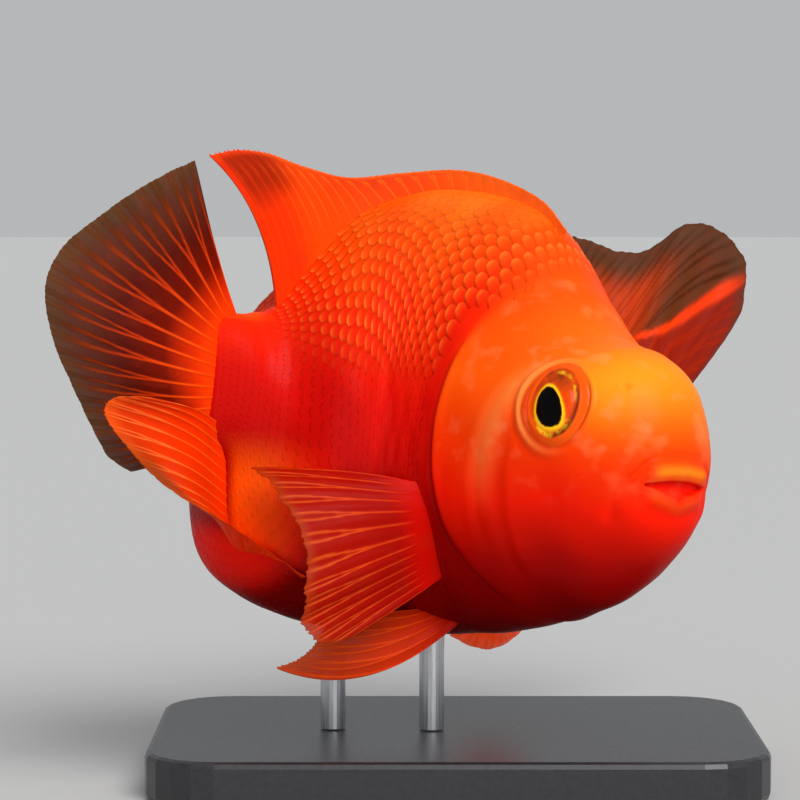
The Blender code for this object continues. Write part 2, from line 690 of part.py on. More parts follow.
def make_fins():
    """Fins in the midline, the dorsal one in two nodes, and the paired fins."""
    median_fin("dorsal_fin", DORSAL_ROOT, DORSAL_TIP, DORSAL_RAYS, DORSAL_ROWS, DORSAL_BOWS,
               (0.85, 0.22, 0.02), DORSAL_SPINES)
    median_fin("caudal_fin", CAUDAL_ROOT, CAUDAL_TIP, CAUDAL_RAYS, CAUDAL_ROWS, CAUDAL_BOWS,
               (0.45, 0.05, 0.01))
    median_fin("anal_fin", ANAL_ROOT, ANAL_TIP, ANAL_RAYS, ANAL_ROWS, ANAL_BOWS, (0.80, 0.15, 0.03))
    near = (NEAR_PECTORAL_ROOT_S, NEAR_PECTORAL_ROOT_H, NEAR_PECTORAL_TIP, NEAR_PECTORAL_SAG)
    far = (FAR_PECTORAL_ROOT_S, FAR_PECTORAL_ROOT_H, FAR_PECTORAL_TIP, FAR_PECTORAL_SAG)
    for word, side, (root_s, root_h, tips, sag) in (("right", -1, near), ("left", 1, far)):
        paired_fin("pectoral_fin_" + word, side, root_s, root_h, tips, PECTORAL_RAYS, PECTORAL_BOW, sag,
                   (0.75, 0.14, 0.04))
    for word, side, tips, sag in (("right", -1, NEAR_PELVIC_TIP, NEAR_PELVIC_SAG),
                                  ("left", 1, FAR_PELVIC_TIP, FAR_PELVIC_SAG)):
        paired_fin("pelvic_fin_" + word, side, PELVIC_ROOT_S, PELVIC_ROOT_H, tips, PELVIC_RAYS,
                   PELVIC_BOW, sag, (0.75, 0.14, 0.04))


def make_stand():
    """Rounded rectangular base with two rods that meet the belly."""
    corner = np.linspace(0.0, np.pi / 2, 6)
    outline = []
    for k in range(4):
        sx = 1 if k in (0, 3) else -1
        sy = 1 if k in (0, 1) else -1
        centre = np.array([sx * (BASE_LENGTH / 2 - BASE_CORNER), sy * (BASE_WIDTH / 2 - BASE_CORNER)])
        turn = corner + k * np.pi / 2
        outline += [centre + BASE_CORNER * np.array([np.cos(a), np.sin(a)]) for a in turn]
    outline = np.array(outline)
    n = len(outline)
    low = np.column_stack([outline, np.zeros(n)])
    high = np.column_stack([outline, np.full(n, BASE_HEIGHT)])
    faces = [tuple(range(n)), tuple(range(n, 2 * n))]
    faces += [(i, (i + 1) % n, n + (i + 1) % n, n + i) for i in range(n)]
    base = make_object("stand_base", np.concatenate([low, high]), faces)
    bevel = base.modifiers.new("Bevel", "BEVEL")
    bevel.width = BASE_BEVEL * MM
    bevel.segments = 2
    bevel.limit_method = "ANGLE"
    finish(base, (0.03, 0.03, 0.035), 0.25)
    for s, word in zip(ROD_S, ("front", "rear")):
        top, _ = surface_spot(s, -60.0, 1)
        top = top + np.array([0.0, 0.0, ROD_TOP_DEPTH])
        foot = np.array([top[0], top[1], BASE_HEIGHT + GAP])
        rod = tube("stand_rod_" + word, [foot, (foot + top) / 2, top], [ROD_DIAMETER / 2] * 3, 20,
                   np.array([0.0, 1.0, 0.0]))
        boolean(rod, [body_guard()], "DIFFERENCE")
        finish(rod, (0.55, 0.56, 0.58), 0.25)


def clear_scene():
    for obj in list(bpy.data.objects):
        bpy.data.objects.remove(obj, do_unlink=True)


clear_scene()
make_body()
make_fins()
make_stand()
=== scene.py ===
"""Blood parrot cichlid on a display stand: skin, scales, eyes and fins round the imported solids.

The fish is described straight, as in the part's source: s runs back from the mouth, side to its
left and h upward, in millimetres. place() bends, pitches and rolls that into the world.
"""

from functools import partial

import bpy
import numpy as np
from bpy.props import FloatProperty, FloatVectorProperty, IntProperty, PointerProperty
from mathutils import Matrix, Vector


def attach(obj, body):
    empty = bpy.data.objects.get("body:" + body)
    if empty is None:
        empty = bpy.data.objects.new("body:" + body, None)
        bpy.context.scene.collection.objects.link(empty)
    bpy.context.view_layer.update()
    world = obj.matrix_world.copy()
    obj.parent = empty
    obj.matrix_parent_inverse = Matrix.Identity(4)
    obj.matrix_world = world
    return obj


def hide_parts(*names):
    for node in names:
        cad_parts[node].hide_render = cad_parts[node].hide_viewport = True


bl_info = {
    "name": "Blood parrot cichlid model",
    "version": (1, 0, 0),
    "blender": (4, 5, 0),
    "location": "3D View > Sidebar > Cichlid",
    "description": "Skin, scales, eyes and fins of a life-size blood parrot cichlid on its stand",
    "category": "Object",
}

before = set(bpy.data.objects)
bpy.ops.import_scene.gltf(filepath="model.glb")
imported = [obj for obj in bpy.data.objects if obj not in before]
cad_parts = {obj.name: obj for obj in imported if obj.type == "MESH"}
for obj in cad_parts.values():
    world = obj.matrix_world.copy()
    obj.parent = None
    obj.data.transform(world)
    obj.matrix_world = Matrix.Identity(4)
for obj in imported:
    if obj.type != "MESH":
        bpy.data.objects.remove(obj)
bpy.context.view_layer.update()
MM = 0.001

# Body rings: top s, top h, bottom s, bottom h, side s, side h, half width
BODY_RINGS = np.array([
    [0.0, -10.0, 0.0, -10.0, 0.0, -10.0, 0.0],
    [0.2, -4.8, 0.4, -15.5, 1.0, -9.8, 7.0],
    [1.3, 1.6, 2.2, -22.8, 4.0, -8.3, 11.2],
    [5.3, 8.8, 8.0, -29.2, 10.5, -5.3, 15.4],
    [12.8, 13.0, 17.0, -35.2, 19.0, -3.2, 19.0],
    [23.0, 15.6, 29.0, -39.7, 29.0, -3.0, 21.9],
    [31.8, 24.2, 43.0, -43.5, 41.0, -5.0, 24.0],
    [43.0, 36.5, 56.0, -45.5, 54.0, -7.0, 25.0],
    [57.0, 41.0, 68.0, -46.5, 67.0, -9.0, 25.0],
    [71.0, 41.0, 81.0, -47.0, 79.0, -11.0, 24.5],
    [84.5, 35.3, 94.5, -44.8, 90.5, -14.5, 23.8],
    [94.3, 24.4, 107.3, -38.5, 102.5, -15.0, 20.2],
    [101.8, 15.6, 112.5, -27.5, 108.5, -7.0, 11.0],
    [110.5, 13.6, 114.0, -15.0, 113.0, 0.5, 6.0],
    [118.5, 12.8, 118.5, -11.5, 118.5, 0.8, 1.5],
])
ROUND_ABOVE = 1.9
ROUND_BELOW = 2.1
NOSE_T = 0.004

# Bend of the midline, as headings towards the viewer's side, and the pose
HEAD_HEADING = 52.0
TAIL_HEADING = -50.0
FIN_HEADING = -10.0
BEND_START = 40.0
BEND_END = 108.0
FIN_BEND_START = 116.0
FIN_BEND_LENGTH = 30.0
BEND_CENTRE = 62.0
PITCH = 5.0
ROLL = -4.0
LIFT = 74.0

# Eyes
SIDES = ((-1, "right"), (1, "left"))
EYE_S = 16.4
EYE_H = 1.4
EYE_RADIUS = 8.6
EYE_BULGE = 4.6
EYE_SUNK = 2.8
EYE_WIDE = 0.9
IRIS_EDGE = 6.7
IRIS_NARROW = 0.78
EYE_RINGS = 63
EYE_SEGMENTS = 112

# Scales: depth of their bed in the skin, where they lie along the body, and the form of one, from
# root to free end, as shares of its length and of its half width
SCALE_BED = 0.125
SCALED_T = (0.33, 0.985)
SCALE_LENGTHS = np.array([0.0, 0.30, 0.58, 0.80, 0.94, 1.0])
SCALE_WIDTHS = np.array([0.80, 1.0, 0.98, 0.78, 0.48, 0.10])
SCALE_COLUMNS = 5

# Mouth and nostrils, as in the solids
MOUTH_HALF_WIDTH = 7.2
MOUTH_H = -11.2
MOUTH_CUSP = 3.2
LIP_ABOVE = 1.5
LIP_BELOW = 1.4
NOSTRIL_S = 7.0
NOSTRIL_H = 5.5

# Fin roots and tips, as in the solids
DORSAL_RAYS = 29
DORSAL_BOWS = (0.10, 0.26)
DORSAL_ROOT = [(40, 32.5), (52, 37.0), (64, 38.0), (76, 36.0), (87, 30.5), (94.5, 22.0), (101.8, 13.6)]
DORSAL_TIP = [(38, 0, 35.0), (45, 0, 40.3), (56, 0, 44.5), (66, 0, 46.0), (77, 0, 44.5), (88, 0, 42.5),
              (98, 0, 43.5), (108, 0, 45.0), (116, 1, 44.8), (123, 2, 43.0)]
CAUDAL_RAYS = 16
CAUDAL_BOWS = (-0.05, -0.08)
CAUDAL_ROOT = [(112.5, 11.8), (115.0, 8.0), (115.5, 1.5), (115.0, -5.0), (114.5, -10.6)]
CAUDAL_TIP = [(129.5, -4, 41.0), (134, -3, 38.2), (140, -2, 33.5), (145, -1, 29.0), (151, 0, 23.2),
              (153.8, 1, 17.0), (153.5, 2, 11.0), (151, 3, 3.5), (148, 4, -2.0), (144.5, 6, -7.5),
              (141, 7, -12.5), (137.5, 8, -16.5), (131.5, 8, -19.0)]
ANAL_RAYS = 17
ANAL_BOWS = (-0.05, 0.08)
ANAL_ROOT = [(93, -40.5), (98.5, -38.0), (102.5, -34.0), (105.8, -28.5), (108.3, -22.5), (110.2, -16.2),
             (111.5, -10.0)]
ANAL_TIP = [(102, -15.3, -36.0), (109.8, -10.5, -31.2), (120, -10, -27.0), (128.5, -12, -23.0),
            (134.8, -13, -18.5), (139.2, -13, -13.2), (142.5, -12.5, -7.5), (141, -12, -4.5),
            (137, -11, -4.0)]
PAIRED_ROOT_DEPTH = 4.0
PECTORAL_RAYS = 14
PECTORAL_BOW = 4.0
NEAR_PECTORAL_TIP = [(-41, -26, -10.6), (-37.7, -30, -12.3), (-34.9, -33, -15), (-31.8, -36, -18.7),
                     (-29.5, -38, -24.1), (-29.4, -40, -30.9), (-29.5, -41, -34.6), (-30.1, -41, -38.7),
                     (-28.5, -40, -41.3), (-25.8, -38, -42.9), (-20.8, -35, -42.4)]
FAR_PECTORAL_TIP = [(25, 40, 32.2), (30, 44, 31), (35.3, 47, 28.9), (41.7, 49, 29), (50.2, 52, 34.5),
                    (57.5, 54, 33.4), (62.7, 54, 27.6), (62.8, 53, 21.9), (61.2, 51, 14.4), (55.6, 48, 6.9),
                    (49.7, 45, 0)]
PELVIC_ROOT = (48.5, 56.5), (-43.3, -43.8)
PELVIC_RAYS = 6
PELVIC_BOW = 2.0
NEAR_PELVIC_TIP = [(-34.9, -30, -48.3), (-31, -30, -47), (-28, -29, -44.8), (-26, -28.5, -42),
                   (-24.5, -28, -39.3), (-22.5, -27, -37)]
FAR_PELVIC_TIP = [(15.8, 18, -43.5), (13.8, 20, -48.5), (10.5, 21, -51.5), (7, 22, -52.6), (3, 21, -51.5),
                  (-1, 20, -49.3)]

# Fins on the flank: s and h of the first and last ray's root, tips, and sag of the first ray
NEAR_PECTORAL = (45.8, 46.3), (-17.8, -33.5), NEAR_PECTORAL_TIP, -4.0
FAR_PECTORAL = (50.0, 51.5), (-17.5, -29.5), FAR_PECTORAL_TIP, 0.0
NEAR_PELVIC = *PELVIC_ROOT, NEAR_PELVIC_TIP, 12.0
FAR_PELVIC = *PELVIC_ROOT, FAR_PELVIC_TIP, 3.0

# Bright fold of the far pectoral fin: where it crosses the rays, and how steeply, from shares across
# the fan to shares of the rays' length
FOLD_CREST = ((0.42, 0.485, 0.54, 0.58, 0.64, 0.68, 0.72), (0.615, 0.65, 0.74, 0.84, 0.93, 1.0, 1.07))
FOLD_SLOPE = ((0.42, 0.46, 0.52, 0.58, 0.68), (0.0, 0.5, 1.5, 2.2, 1.7))

# Fin sheet where a fin has no value of its own: web, ray, root and ripple in mm, notch and fray of the
# margin and start and sweep of the rays as shares, mesh columns to a ray, the painted glow that stands
# in for light let through, and the seed of the fray
FIN_LOOK = {"web": 0.28, "ray": 0.34, "root": 1.7, "ripple": 0.25, "notch": 0.003, "fray": 0.0, "lobe": -0.1,
            "sweep": 0.0, "per_ray": 14, "glow": 0.0, "seed": 1}

# Sheen of the flesh and how deep light goes into it in metres, floor in mm and camera
FLESH_SPECULAR = 0.035
FLESH_DEPTH = 0.002
FLOOR_RADIUS = 6000.0
FLOOR_SIDES = 96
SENSOR_WIDTH = 36.0
CAMERA_AIM = (-11.1, 0.0, 0.4)


# Geometry of the fish


def smooth(x):
    """Eased step: 3x^2 - 2x^3 on x held between 0 and 1."""
    x = np.clip(x, 0.0, 1.0)
    return x * x * (3 - 2 * x)


def rise(x, start, width):
    """Eased step from 0 at start to 1 a width further on."""
    return smooth((x - start) / width)


def fall(x, end, width):
    """Eased step from 1 a width before the end to 0 at the end."""
    return smooth((end - x) / width)


def hump(distance, width):
    """Bell of height 1: exp(-(distance / width)^2)."""
    return np.exp(-(distance / width)**2)


def blend(first, second, share):
    """Straight mix of two colours or points by share, which runs from 0 to 1."""
    share = np.asarray(share)[..., None]
    return np.asarray(first) * (1 - share) + np.asarray(second) * share


def spline_rows(values, t):
    """Cubic through equally spaced rows, with each slope from the two neighbours."""
    values = np.asarray(values, float)
    last = len(values) - 1
    slope = np.zeros_like(values)
    slope[1:-1] = (values[2:] - values[:-2]) / 2.0
    slope[0] = values[1] - values[0]
    slope[-1] = values[-1] - values[-2]
    x = np.clip(np.asarray(t, float), 0.0, 1.0) * last
    i = np.clip(np.floor(x).astype(int), 0, last - 1)
    f = (x - i)[..., None]
    return ((2 * f**3 - 3 * f**2 + 1) * values[i] + (f**3 - 2 * f**2 + f) * slope[i]
            + (3 * f**2 - 2 * f**3) * values[i + 1] + (f**3 - f**2) * slope[i + 1])


def body_point(t, phi):
    """Point of the straight body: a superellipse ring at t, phi 0 on the left side, 90 degrees on top."""
    row = spline_rows(BODY_RINGS, t)
    top_s, top_h, low_s, low_h, side_s, side_h, half = np.moveaxis(row, -1, 0)
    c = np.cos(phi)
    q = np.sin(phi)
    power = 2.0 / np.where(q >= 0, ROUND_ABOVE, ROUND_BELOW)
    end_s = np.where(q >= 0, top_s, low_s)
    end_h = np.where(q >= 0, top_h, low_h)
    s = side_s + (end_s - side_s) * q**2
    h = side_h + (end_h - side_h) * np.abs(q)**power
    return np.stack([s, half * np.sign(c) * np.abs(c)**power, h], -1)


def outward(point_of, t, phi, dt=0.002, dphi=0.01):
    """Unit normal of a surface point_of(t, phi): the cross product of its two slopes.

    The straight fish's axes are left-handed, so there the product is turned round.
    """
    along = point_of(np.clip(t + dt, 0.0, 1.0), phi) - point_of(np.clip(t - dt, 0.0, 1.0), phi)
    across = point_of(t, phi + dphi) - point_of(t, phi - dphi)
    normal = np.cross(along, across) * (-1.0 if point_of is body_point else 1.0)
    return normal / np.maximum(np.linalg.norm(normal, axis=-1, keepdims=True), 1e-9)


def heading(s):
    """Heading of the midline: eased from head to tail over the trunk, and again into the tail fin."""
    u = np.clip((s - BEND_START) / (BEND_END - BEND_START), 0.0, 1.0)
    mix = 0.5 * u + 0.5 * smooth(u)
    angle = HEAD_HEADING + (TAIL_HEADING - HEAD_HEADING) * mix
    fin = rise(s, FIN_BEND_START, FIN_BEND_LENGTH)
    return np.radians(angle + (FIN_HEADING - TAIL_HEADING) * fin)


def midline():
    """Plan of the midline, summed from its heading in short steps."""
    s = np.linspace(-10.0, 190.0, 801)
    angle = heading(s)
    step = s[1] - s[0]
    x = np.concatenate([[0.0], np.cumsum(-(np.cos(angle[1:]) + np.cos(angle[:-1])) / 2 * step)])
    y = np.concatenate([[0.0], np.cumsum((np.sin(angle[1:]) + np.sin(angle[:-1])) / 2 * step)])
    return s, x - np.interp(BEND_CENTRE, s, x), y - np.interp(BEND_CENTRE, s, y), angle


MIDLINE = midline()


def lift(p):
    """World point of a place measured from the bend's centre: raised by the stand's height."""
    return p + np.array([0.0, 0.0, LIFT])


def place(p):
    """Straight-fish point to the world: bent in plan along the midline, then pitched, rolled and lifted."""
    p = np.asarray(p, float)
    s, mx, my, angle = MIDLINE
    turn = np.interp(p[..., 0], s, angle)
    x = np.interp(p[..., 0], s, mx) + p[..., 1] * np.sin(turn)
    y = np.interp(p[..., 0], s, my) + p[..., 1] * np.cos(turn)
    a = np.radians(PITCH)
    b = np.radians(ROLL)
    z = p[..., 2] * np.cos(a) - x * np.sin(a)
    x = x * np.cos(a) + p[..., 2] * np.sin(a)
    return lift(np.stack([x, y * np.cos(b) - z * np.sin(b), y * np.sin(b) + z * np.cos(b)], -1))


def world_body(t, phi):
    """World point of the body at ring place t and angle phi."""
    return place(body_point(t, phi))


def nearest_spot(s, h, side):
    """Ring place and angle of the body's point at s and h on one side, found on a fine grid."""
    quarter = np.pi / 2
    t, phi = np.meshgrid(np.linspace(0.01, 1.0, 400), np.linspace(-quarter, quarter, 241), indexing="ij")
    if side < 0:
        phi = np.pi - phi
    p = body_point(t, phi)
    k = np.argmin((p[..., 0] - s)**2 + (p[..., 2] - h)**2)
    return t.ravel()[k], phi.ravel()[k]


def surface_spot(s, h, side):
    """World point and outward normal on the flank at straight-fish s and h."""
    t, phi = nearest_spot(s, h, side)
    return world_body(t, phi), outward(world_body, t, phi)


def axes_about(normal):
    """Two axes square to a normal, the second as near upright as it can be."""
    across = np.cross([0.0, 0.0, 1.0], normal)
    across = across / np.linalg.norm(across)
    return across, np.cross(normal, across)


# Meshes from arrays


def grid_corners(rows, columns, wrap):
    """Row and column of the four corners of each cell; with wrap the last column meets the first."""
    i, j = np.meshgrid(np.arange(rows - 1), np.arange(columns if wrap else columns - 1), indexing="ij")
    i = i.ravel()
    j = j.ravel()
    return np.stack([i, i, i + 1, i + 1], 1), np.stack([j, j + 1, j + 1, j], 1)


def ball_faces(rows, columns):
    """Faces of a closed form: quads between wrapped rings, then a fan from each end ring to its pole.

    The first ring's pole is the point after the last ring's, and the last ring's pole the next one.
    """
    i, j = grid_corners(rows, columns, True)
    ring = np.arange(columns)
    turn = (ring + 1) % columns
    count = rows * columns
    start = np.stack([turn, ring, np.full(columns, count)], 1)
    end = np.stack([ring, turn, np.full(columns, count + 1)], 1) + [count - columns, count - columns, 0]
    return [i * columns + j % columns, start, end]


def plate_faces(rows, columns):
    """Faces of a closed plate: an upper grid, a lower one whose points follow it, and the rim between."""
    i, j = grid_corners(rows, columns, False)
    upper = i * columns + j
    count = rows * columns
    rim = np.concatenate([np.arange(columns), np.arange(1, rows) * columns + columns - 1,
                          (rows - 1) * columns + np.arange(columns - 2, -1, -1),
                          np.arange(rows - 2, 0, -1) * columns])
    after = np.roll(rim, -1)
    sides = np.stack([after, rim, rim + count, after + count], 1)
    return np.concatenate([upper, (upper + count)[:, ::-1], sides])


def new_piece(name, points, groups, uvs=None, colours=None):
    """Object at the origin from points in millimetres.

    groups is a list of arrays of corner indices, turned round if they face inwards. uvs maps a name
    to one place per vertex, and colours maps a name to one RGB colour or one value per vertex.
    """
    points = np.asarray(points, float).reshape(-1, 3)
    tri = points[np.concatenate([g[:, :3] for g in groups])]
    quad = points[np.concatenate([g[:, [0, 2, 3]] for g in groups if g.shape[1] == 4])]
    volume = sum(np.einsum("ij,ij->", p[:, 0], np.cross(p[:, 1], p[:, 2])) for p in (tri, quad))
    if volume < 0:
        groups = [g[:, ::-1] for g in groups]
    mesh = bpy.data.meshes.new(name)
    corners = np.concatenate([g.ravel() for g in groups])
    sizes = np.concatenate([np.full(len(g), g.shape[1]) for g in groups])
    mesh.vertices.add(len(points))
    mesh.vertices.foreach_set("co", (points * MM).ravel())
    mesh.loops.add(len(corners))
    mesh.loops.foreach_set("vertex_index", corners)
    mesh.polygons.add(len(sizes))
    mesh.polygons.foreach_set("loop_start", np.concatenate([[0], np.cumsum(sizes)[:-1]]))
    mesh.update(calc_edges=True)
    if mesh.validate():
        raise RuntimeError(name + " has faces that can't be used")
    for key, value in (uvs or {}).items():
        mesh.uv_layers.new(name=key).data.foreach_set("uv", value.reshape(-1, 2)[corners].ravel())
    for key, value in (colours or {}).items():
        value = np.broadcast_to(value.reshape(len(points), -1), (len(points), 3))
        channel = mesh.color_attributes.new(name=key, type="FLOAT_COLOR", domain="POINT")
        channel.data.foreach_set("color", np.concatenate([value, np.ones((len(points), 1))], 1).ravel())
    mesh.shade_smooth()
    obj = bpy.data.objects.new(name, mesh)
    bpy.context.scene.collection.objects.link(obj)
    return obj


def coat_with(obj, material):
    """Give an object one material."""
    obj.data.materials.clear()
    obj.data.materials.append(material)


def settle(obj, material, slot, *nodes):
    """Give a piece its material and its place in the frame."""
    coat_with(obj, material)
    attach(obj, "root")
    if nodes:
        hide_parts(*nodes)


# Colours


def rgb(red, green, blue):
    """Display colour of 0 to 255 as linear light."""
    c = np.array([red, green, blue]) / 255.0
    return np.where(c <= 0.04045, c / 12.92, ((c + 0.055) / 1.055)**2.4)


def stops(*rows):
    """Colour stops as (place, colour) pairs from rows of place, red, green and blue."""
    return [(row[0], rgb(*row[1:])) for row in rows]


def gill_edge(h):
    """s of the gill cover's rear edge at height h: a curve that leans forward above and below."""
    return 44.8 - np.where(h > -9.0, 0.0078, 0.0165) * (h + 9.0)**2


def preopercle(h):
    """s of the fold on the cheek in front of the gill cover."""
    return 26.4 - 0.0095 * (h + 19.0)**2


def mouth_cusp(across):
    """How far the lower edge of the mouth hangs below the upper one: a shallow V."""
    return MOUTH_CUSP * (1.0 - np.minimum(np.abs(across) / MOUTH_HALF_WIDTH, 1.0))


def mouth_line(p):
    """Height over the mouth's upper edge, which drops a little at the corners."""
    return p[..., 2] - MOUTH_H + 0.9 * (p[..., 1] / MOUTH_HALF_WIDTH)**2


def in_mouth(p):
    """Mask of the mouth's opening between its two edges, seen from in front."""
    side = np.abs(p[..., 1])
    top = 0.15
    low = -0.15 - mouth_cusp(side)
    front = fall(p[..., 0], 7, 2)
    width = fall(side, MOUTH_HALF_WIDTH + 0.5, 0.9)
    line = mouth_line(p)
    return smooth((top - line) / 0.45 + 0.5) * smooth((line - low) / 0.9 + 0.5) * front * width


def eye_axes(side):
    """Straight-fish centre and axes of one eye's rim."""
    t, phi = nearest_spot(EYE_S, EYE_H, side)
    centre = body_point(t, phi)
    normal = outward(body_point, t, phi)
    across, upright = axes_about(normal)
    return centre, across, upright


EYE_AXES = {side: eye_axes(side) for side, word in SIDES}


def eye_distance(p):
    """Distance from the nearer eye's middle along the skin, with the eye a little narrower than tall.

    Also the share by which a point lies behind the eye, from -1 in front to 1 behind.
    """
    best = np.full(p.shape[:-1], 1e3)
    behind = np.zeros(p.shape[:-1])
    for side, (centre, across, upright) in EYE_AXES.items():
        d = p - centre
        along = d @ across / EYE_WIDE
        up = d @ upright
        r = np.sqrt(along**2 + up**2)
        near = (np.sign(p[..., 1]) == side) & (np.linalg.norm(d, axis=-1) < 25.0)
        best = np.where(near, r, best)
        behind = np.where(near, (p[..., 0] - centre[0]) / np.maximum(r, 1.0), behind)
    return best, behind


def grade(x, marks):
    """Colour read along x from (place, colour) marks, straight between them."""
    places, colours = zip(*marks)
    return np.stack([np.interp(x, places, channel) for channel in zip(*colours)], -1)


def layer(out, *layers):
    """Colour covered by layers in turn, each a colour and the share by which it covers."""
    for colour, share in layers:
        out = blend(out, colour, share)
    return out


def markings(p, colours):
    """Colour of skin and scales from straight-fish places.

    Height on the flank grades belly, flank and back: partly the fish's own reds, partly painted light
    that lightens the top and painted shade that darkens the belly. In front of the gill edge the head's
    own grading takes over, with painted shade towards the chin, the forehead's lighter patch, painted
    highlights on the lips, painted shade in the gill slit, along the mouth's crease and in the ring
    round each eye, and a pale fold behind each eye that is partly painted highlight. Painted shade
    darkens the tail root, and painted light lightens the anal fin's foot on the near side only.
    """
    def graded(x, *rows):
        return grade(x, [(at, colours[key]) for at, key in rows])

    s, across, h = np.moveaxis(p, -1, 0)
    side = np.abs(across)
    wave = 2.0 * np.sin(s * 0.21 + 1.3) + 1.5 * np.sin(s * 0.47 + h * 0.15)
    # Painted light and shade over the fish's own reds: lighter towards the back, darker towards the belly.
    body = graded(h + wave, (-46, "belly"), (-24, "low_flank"), (-2, "flank"), (18, "high_flank"),
                  (32, "back"), (42, "ridge"))
    tail = graded(h, (-16, "low_flank"), (3, "flank"), (12, "high_flank"), (15.5, "ridge"))
    # Painted shade: the tail root darkened with the lower flank's colour where it would shine.
    body = layer(body, (colours["low_flank"], hump(s - 101, 8) * hump(h + 4, 13) * 0.75),
                 (tail, rise(s, 104, 7) * 0.9),
                 (colours["gullet"], rise(s, 101, 11) * fall(h, -26, 5) * 0.85))
    # The head is graded the same way, with painted shade darkening it towards the chin.
    head = graded(h + wave * 0.5, (-38, "belly"), (-28, "chin"), (-17, "jaw"), (-6, "cheek"),
                  (6, "temple"), (18, "back"))
    patch = 0.9 * hump(s - 8, 10) * hump(h - 7, 9) + 0.2 * hump(s - 22, 9) * hump(h - 17, 6)
    head = blend(head, colours["forehead"], np.minimum(patch, 1.0))
    folds = hump(s - preopercle(h) - 5, 2.5) * rise(h, -22, 18) * fall(h, 12, 10)
    # Painted light: the anal fin's foot made lighter on the near side only, where it is lit.
    lit_anal_foot = rise(s, 97, 13) * fall(h, -8, 11) * fall(across, -1, 3)
    lit_anal_foot = lit_anal_foot * rise(h - 0.62 * (s - 102), -36, 1.5)
    anal_foot_light = blend(colours["jaw"], colours["temple"], rise(s, 104, 8))
    # Painted shade in the gill slit behind the cover's edge.
    gill_slit_shade = hump(s - gill_edge(h) - 0.8, 1.2) * rise(h, -44, 6) * fall(h, 11, 6)
    line = mouth_line(p)
    front = fall(side, 7.4, 3) * fall(s, 7, 3)
    # Painted highlights on the upper and lower lip.
    upper_lip_highlight = hump(line - LIP_ABOVE - 0.5, 1.2) * front
    lower_lip_highlight = hump(line + LIP_BELOW + 0.5 + mouth_cusp(side), 1.0) * front
    # Painted shade along the closed mouth's crease.
    mouth_crease_shade = hump(line - 0.1, 0.3) * fall(side, MOUTH_HALF_WIDTH + 0.6, 1.5) * fall(s, 7, 2)
    r, behind = eye_distance(p)
    return layer(body, (head, rise(gill_edge(h) - s, -1.5, 4)),
                 (colours["fold"], folds * 0.42),
                 (anal_foot_light, lit_anal_foot * 0.85),
                 (colours["belly"], gill_slit_shade * 0.25),
                 (colours["forehead"], upper_lip_highlight * 0.65),
                 (colours["temple"], lower_lip_highlight * 0.3),
                 (colours["gullet"], smooth(in_mouth(p) * 1.6)),
                 (colours["belly"], mouth_crease_shade * 0.35),
                 # Painted shade in the groove round the eye; the pale fold behind it is partly painted
                 # highlight on the rim.
                 (colours["low_flank"], hump(r - 7.1, 0.6) * 0.6),
                 (colours["fold"], hump(r - 8.9, 0.75) * smooth(behind * 0.6 + 0.3) * 0.8))


def blotches(p):
    """Pale patches on the head, partly its own mottling, partly painted glints: round and behind the eye, and
    on the forehead's front.
    """
    r = eye_distance(p)[0]
    s = p[..., 0]
    h = p[..., 2]
    near_eye = fall(r, 24, 10) * rise(r, 7.5, 3) * rise(h, -14, 10)
    brow = fall(s, 14, 8) * rise(h, -7, 5)
    gill = rise(gill_edge(h) - s, 0, 4) * rise(h, -20, 14) * 0.6
    return np.maximum(np.maximum(near_eye, brow), gill)


# Skin


def scaled_area(p):
    """Mask of the scaled skin: behind the gill edge, and on the nape above the cheek."""
    trunk = rise(p[..., 0] - gill_edge(p[..., 2]), 1.5, 2.5)
    nape = rise(p[..., 2], 15, 4) * rise(p[..., 0], 30, 5)
    return np.maximum(trunk, nape)


def face_relief(p):
    """Height of lips, mouth creases, jaw, cheek and gill folds over the plain body."""
    s, across, h = np.moveaxis(p, -1, 0)
    side = np.abs(across)
    front = fall(s, 7.5, 3)
    corner = fall(side, MOUTH_HALF_WIDTH + 0.8, 2.6)
    line = mouth_line(p)
    cusp = 0.7 * mouth_cusp(side)
    lips = 1.0 * hump(line - LIP_ABOVE - 0.3, 1.6) + 0.6 * hump(line + LIP_BELOW + 0.6 + cusp, 1.7)
    lips -= 0.3 * hump(line - LIP_ABOVE - 3.4, 1.1) + 0.2 * hump(line + LIP_BELOW + 3.4 + cusp, 1.3)
    relief = lips * front * corner
    relief -= 0.56 * hump(side - 8.4, 2.8) * hump(h + 12.6, 4.0) * front
    jaw = side - 11.3 + 0.055 * (h + 16.5)**2
    relief -= 0.5 * hump(jaw, 0.75) * rise(h, -21, 4) * fall(h, -6.5, 2) * fall(s, 12, 4)
    relief += 0.35 * hump(jaw + 1.8, 1.3) * rise(h, -20, 4) * fall(h, -7, 2) * front
    opening = gill_edge(h) - s
    reach = rise(h, -43, 5) * fall(h, 14, 4)
    relief += 0.5 * rise(opening, -0.4, 1.1) * np.exp(-np.maximum(opening, 0.0) / 8.0) * reach
    relief -= 0.2 * hump(opening + 1.0, 0.9) * reach
    fold = preopercle(h) - s
    cheek = rise(h, -34, 6) * fall(h, 9, 5)
    relief += 0.26 * rise(fold, -0.8, 2.2) * np.exp(-np.maximum(fold, 0.0) / 6.0) * cheek
    relief -= 0.16 * hump(fold + 1.8, 1.3) * cheek
    fine_fold = 0.10 * hump(fold + 8.5, 1.3) - 0.12 * hump(fold + 6.5 + 0.03 * (h + 10.0), 1.1)
    relief += fine_fold * rise(h, -30, 8) * fall(h, 12, 5)
    brow = np.abs(h - 23.7 + 0.65 * s)
    return relief - 0.35 * hump(brow, 1.8) * rise(s, 8, 4) * fall(s, 22, 5)


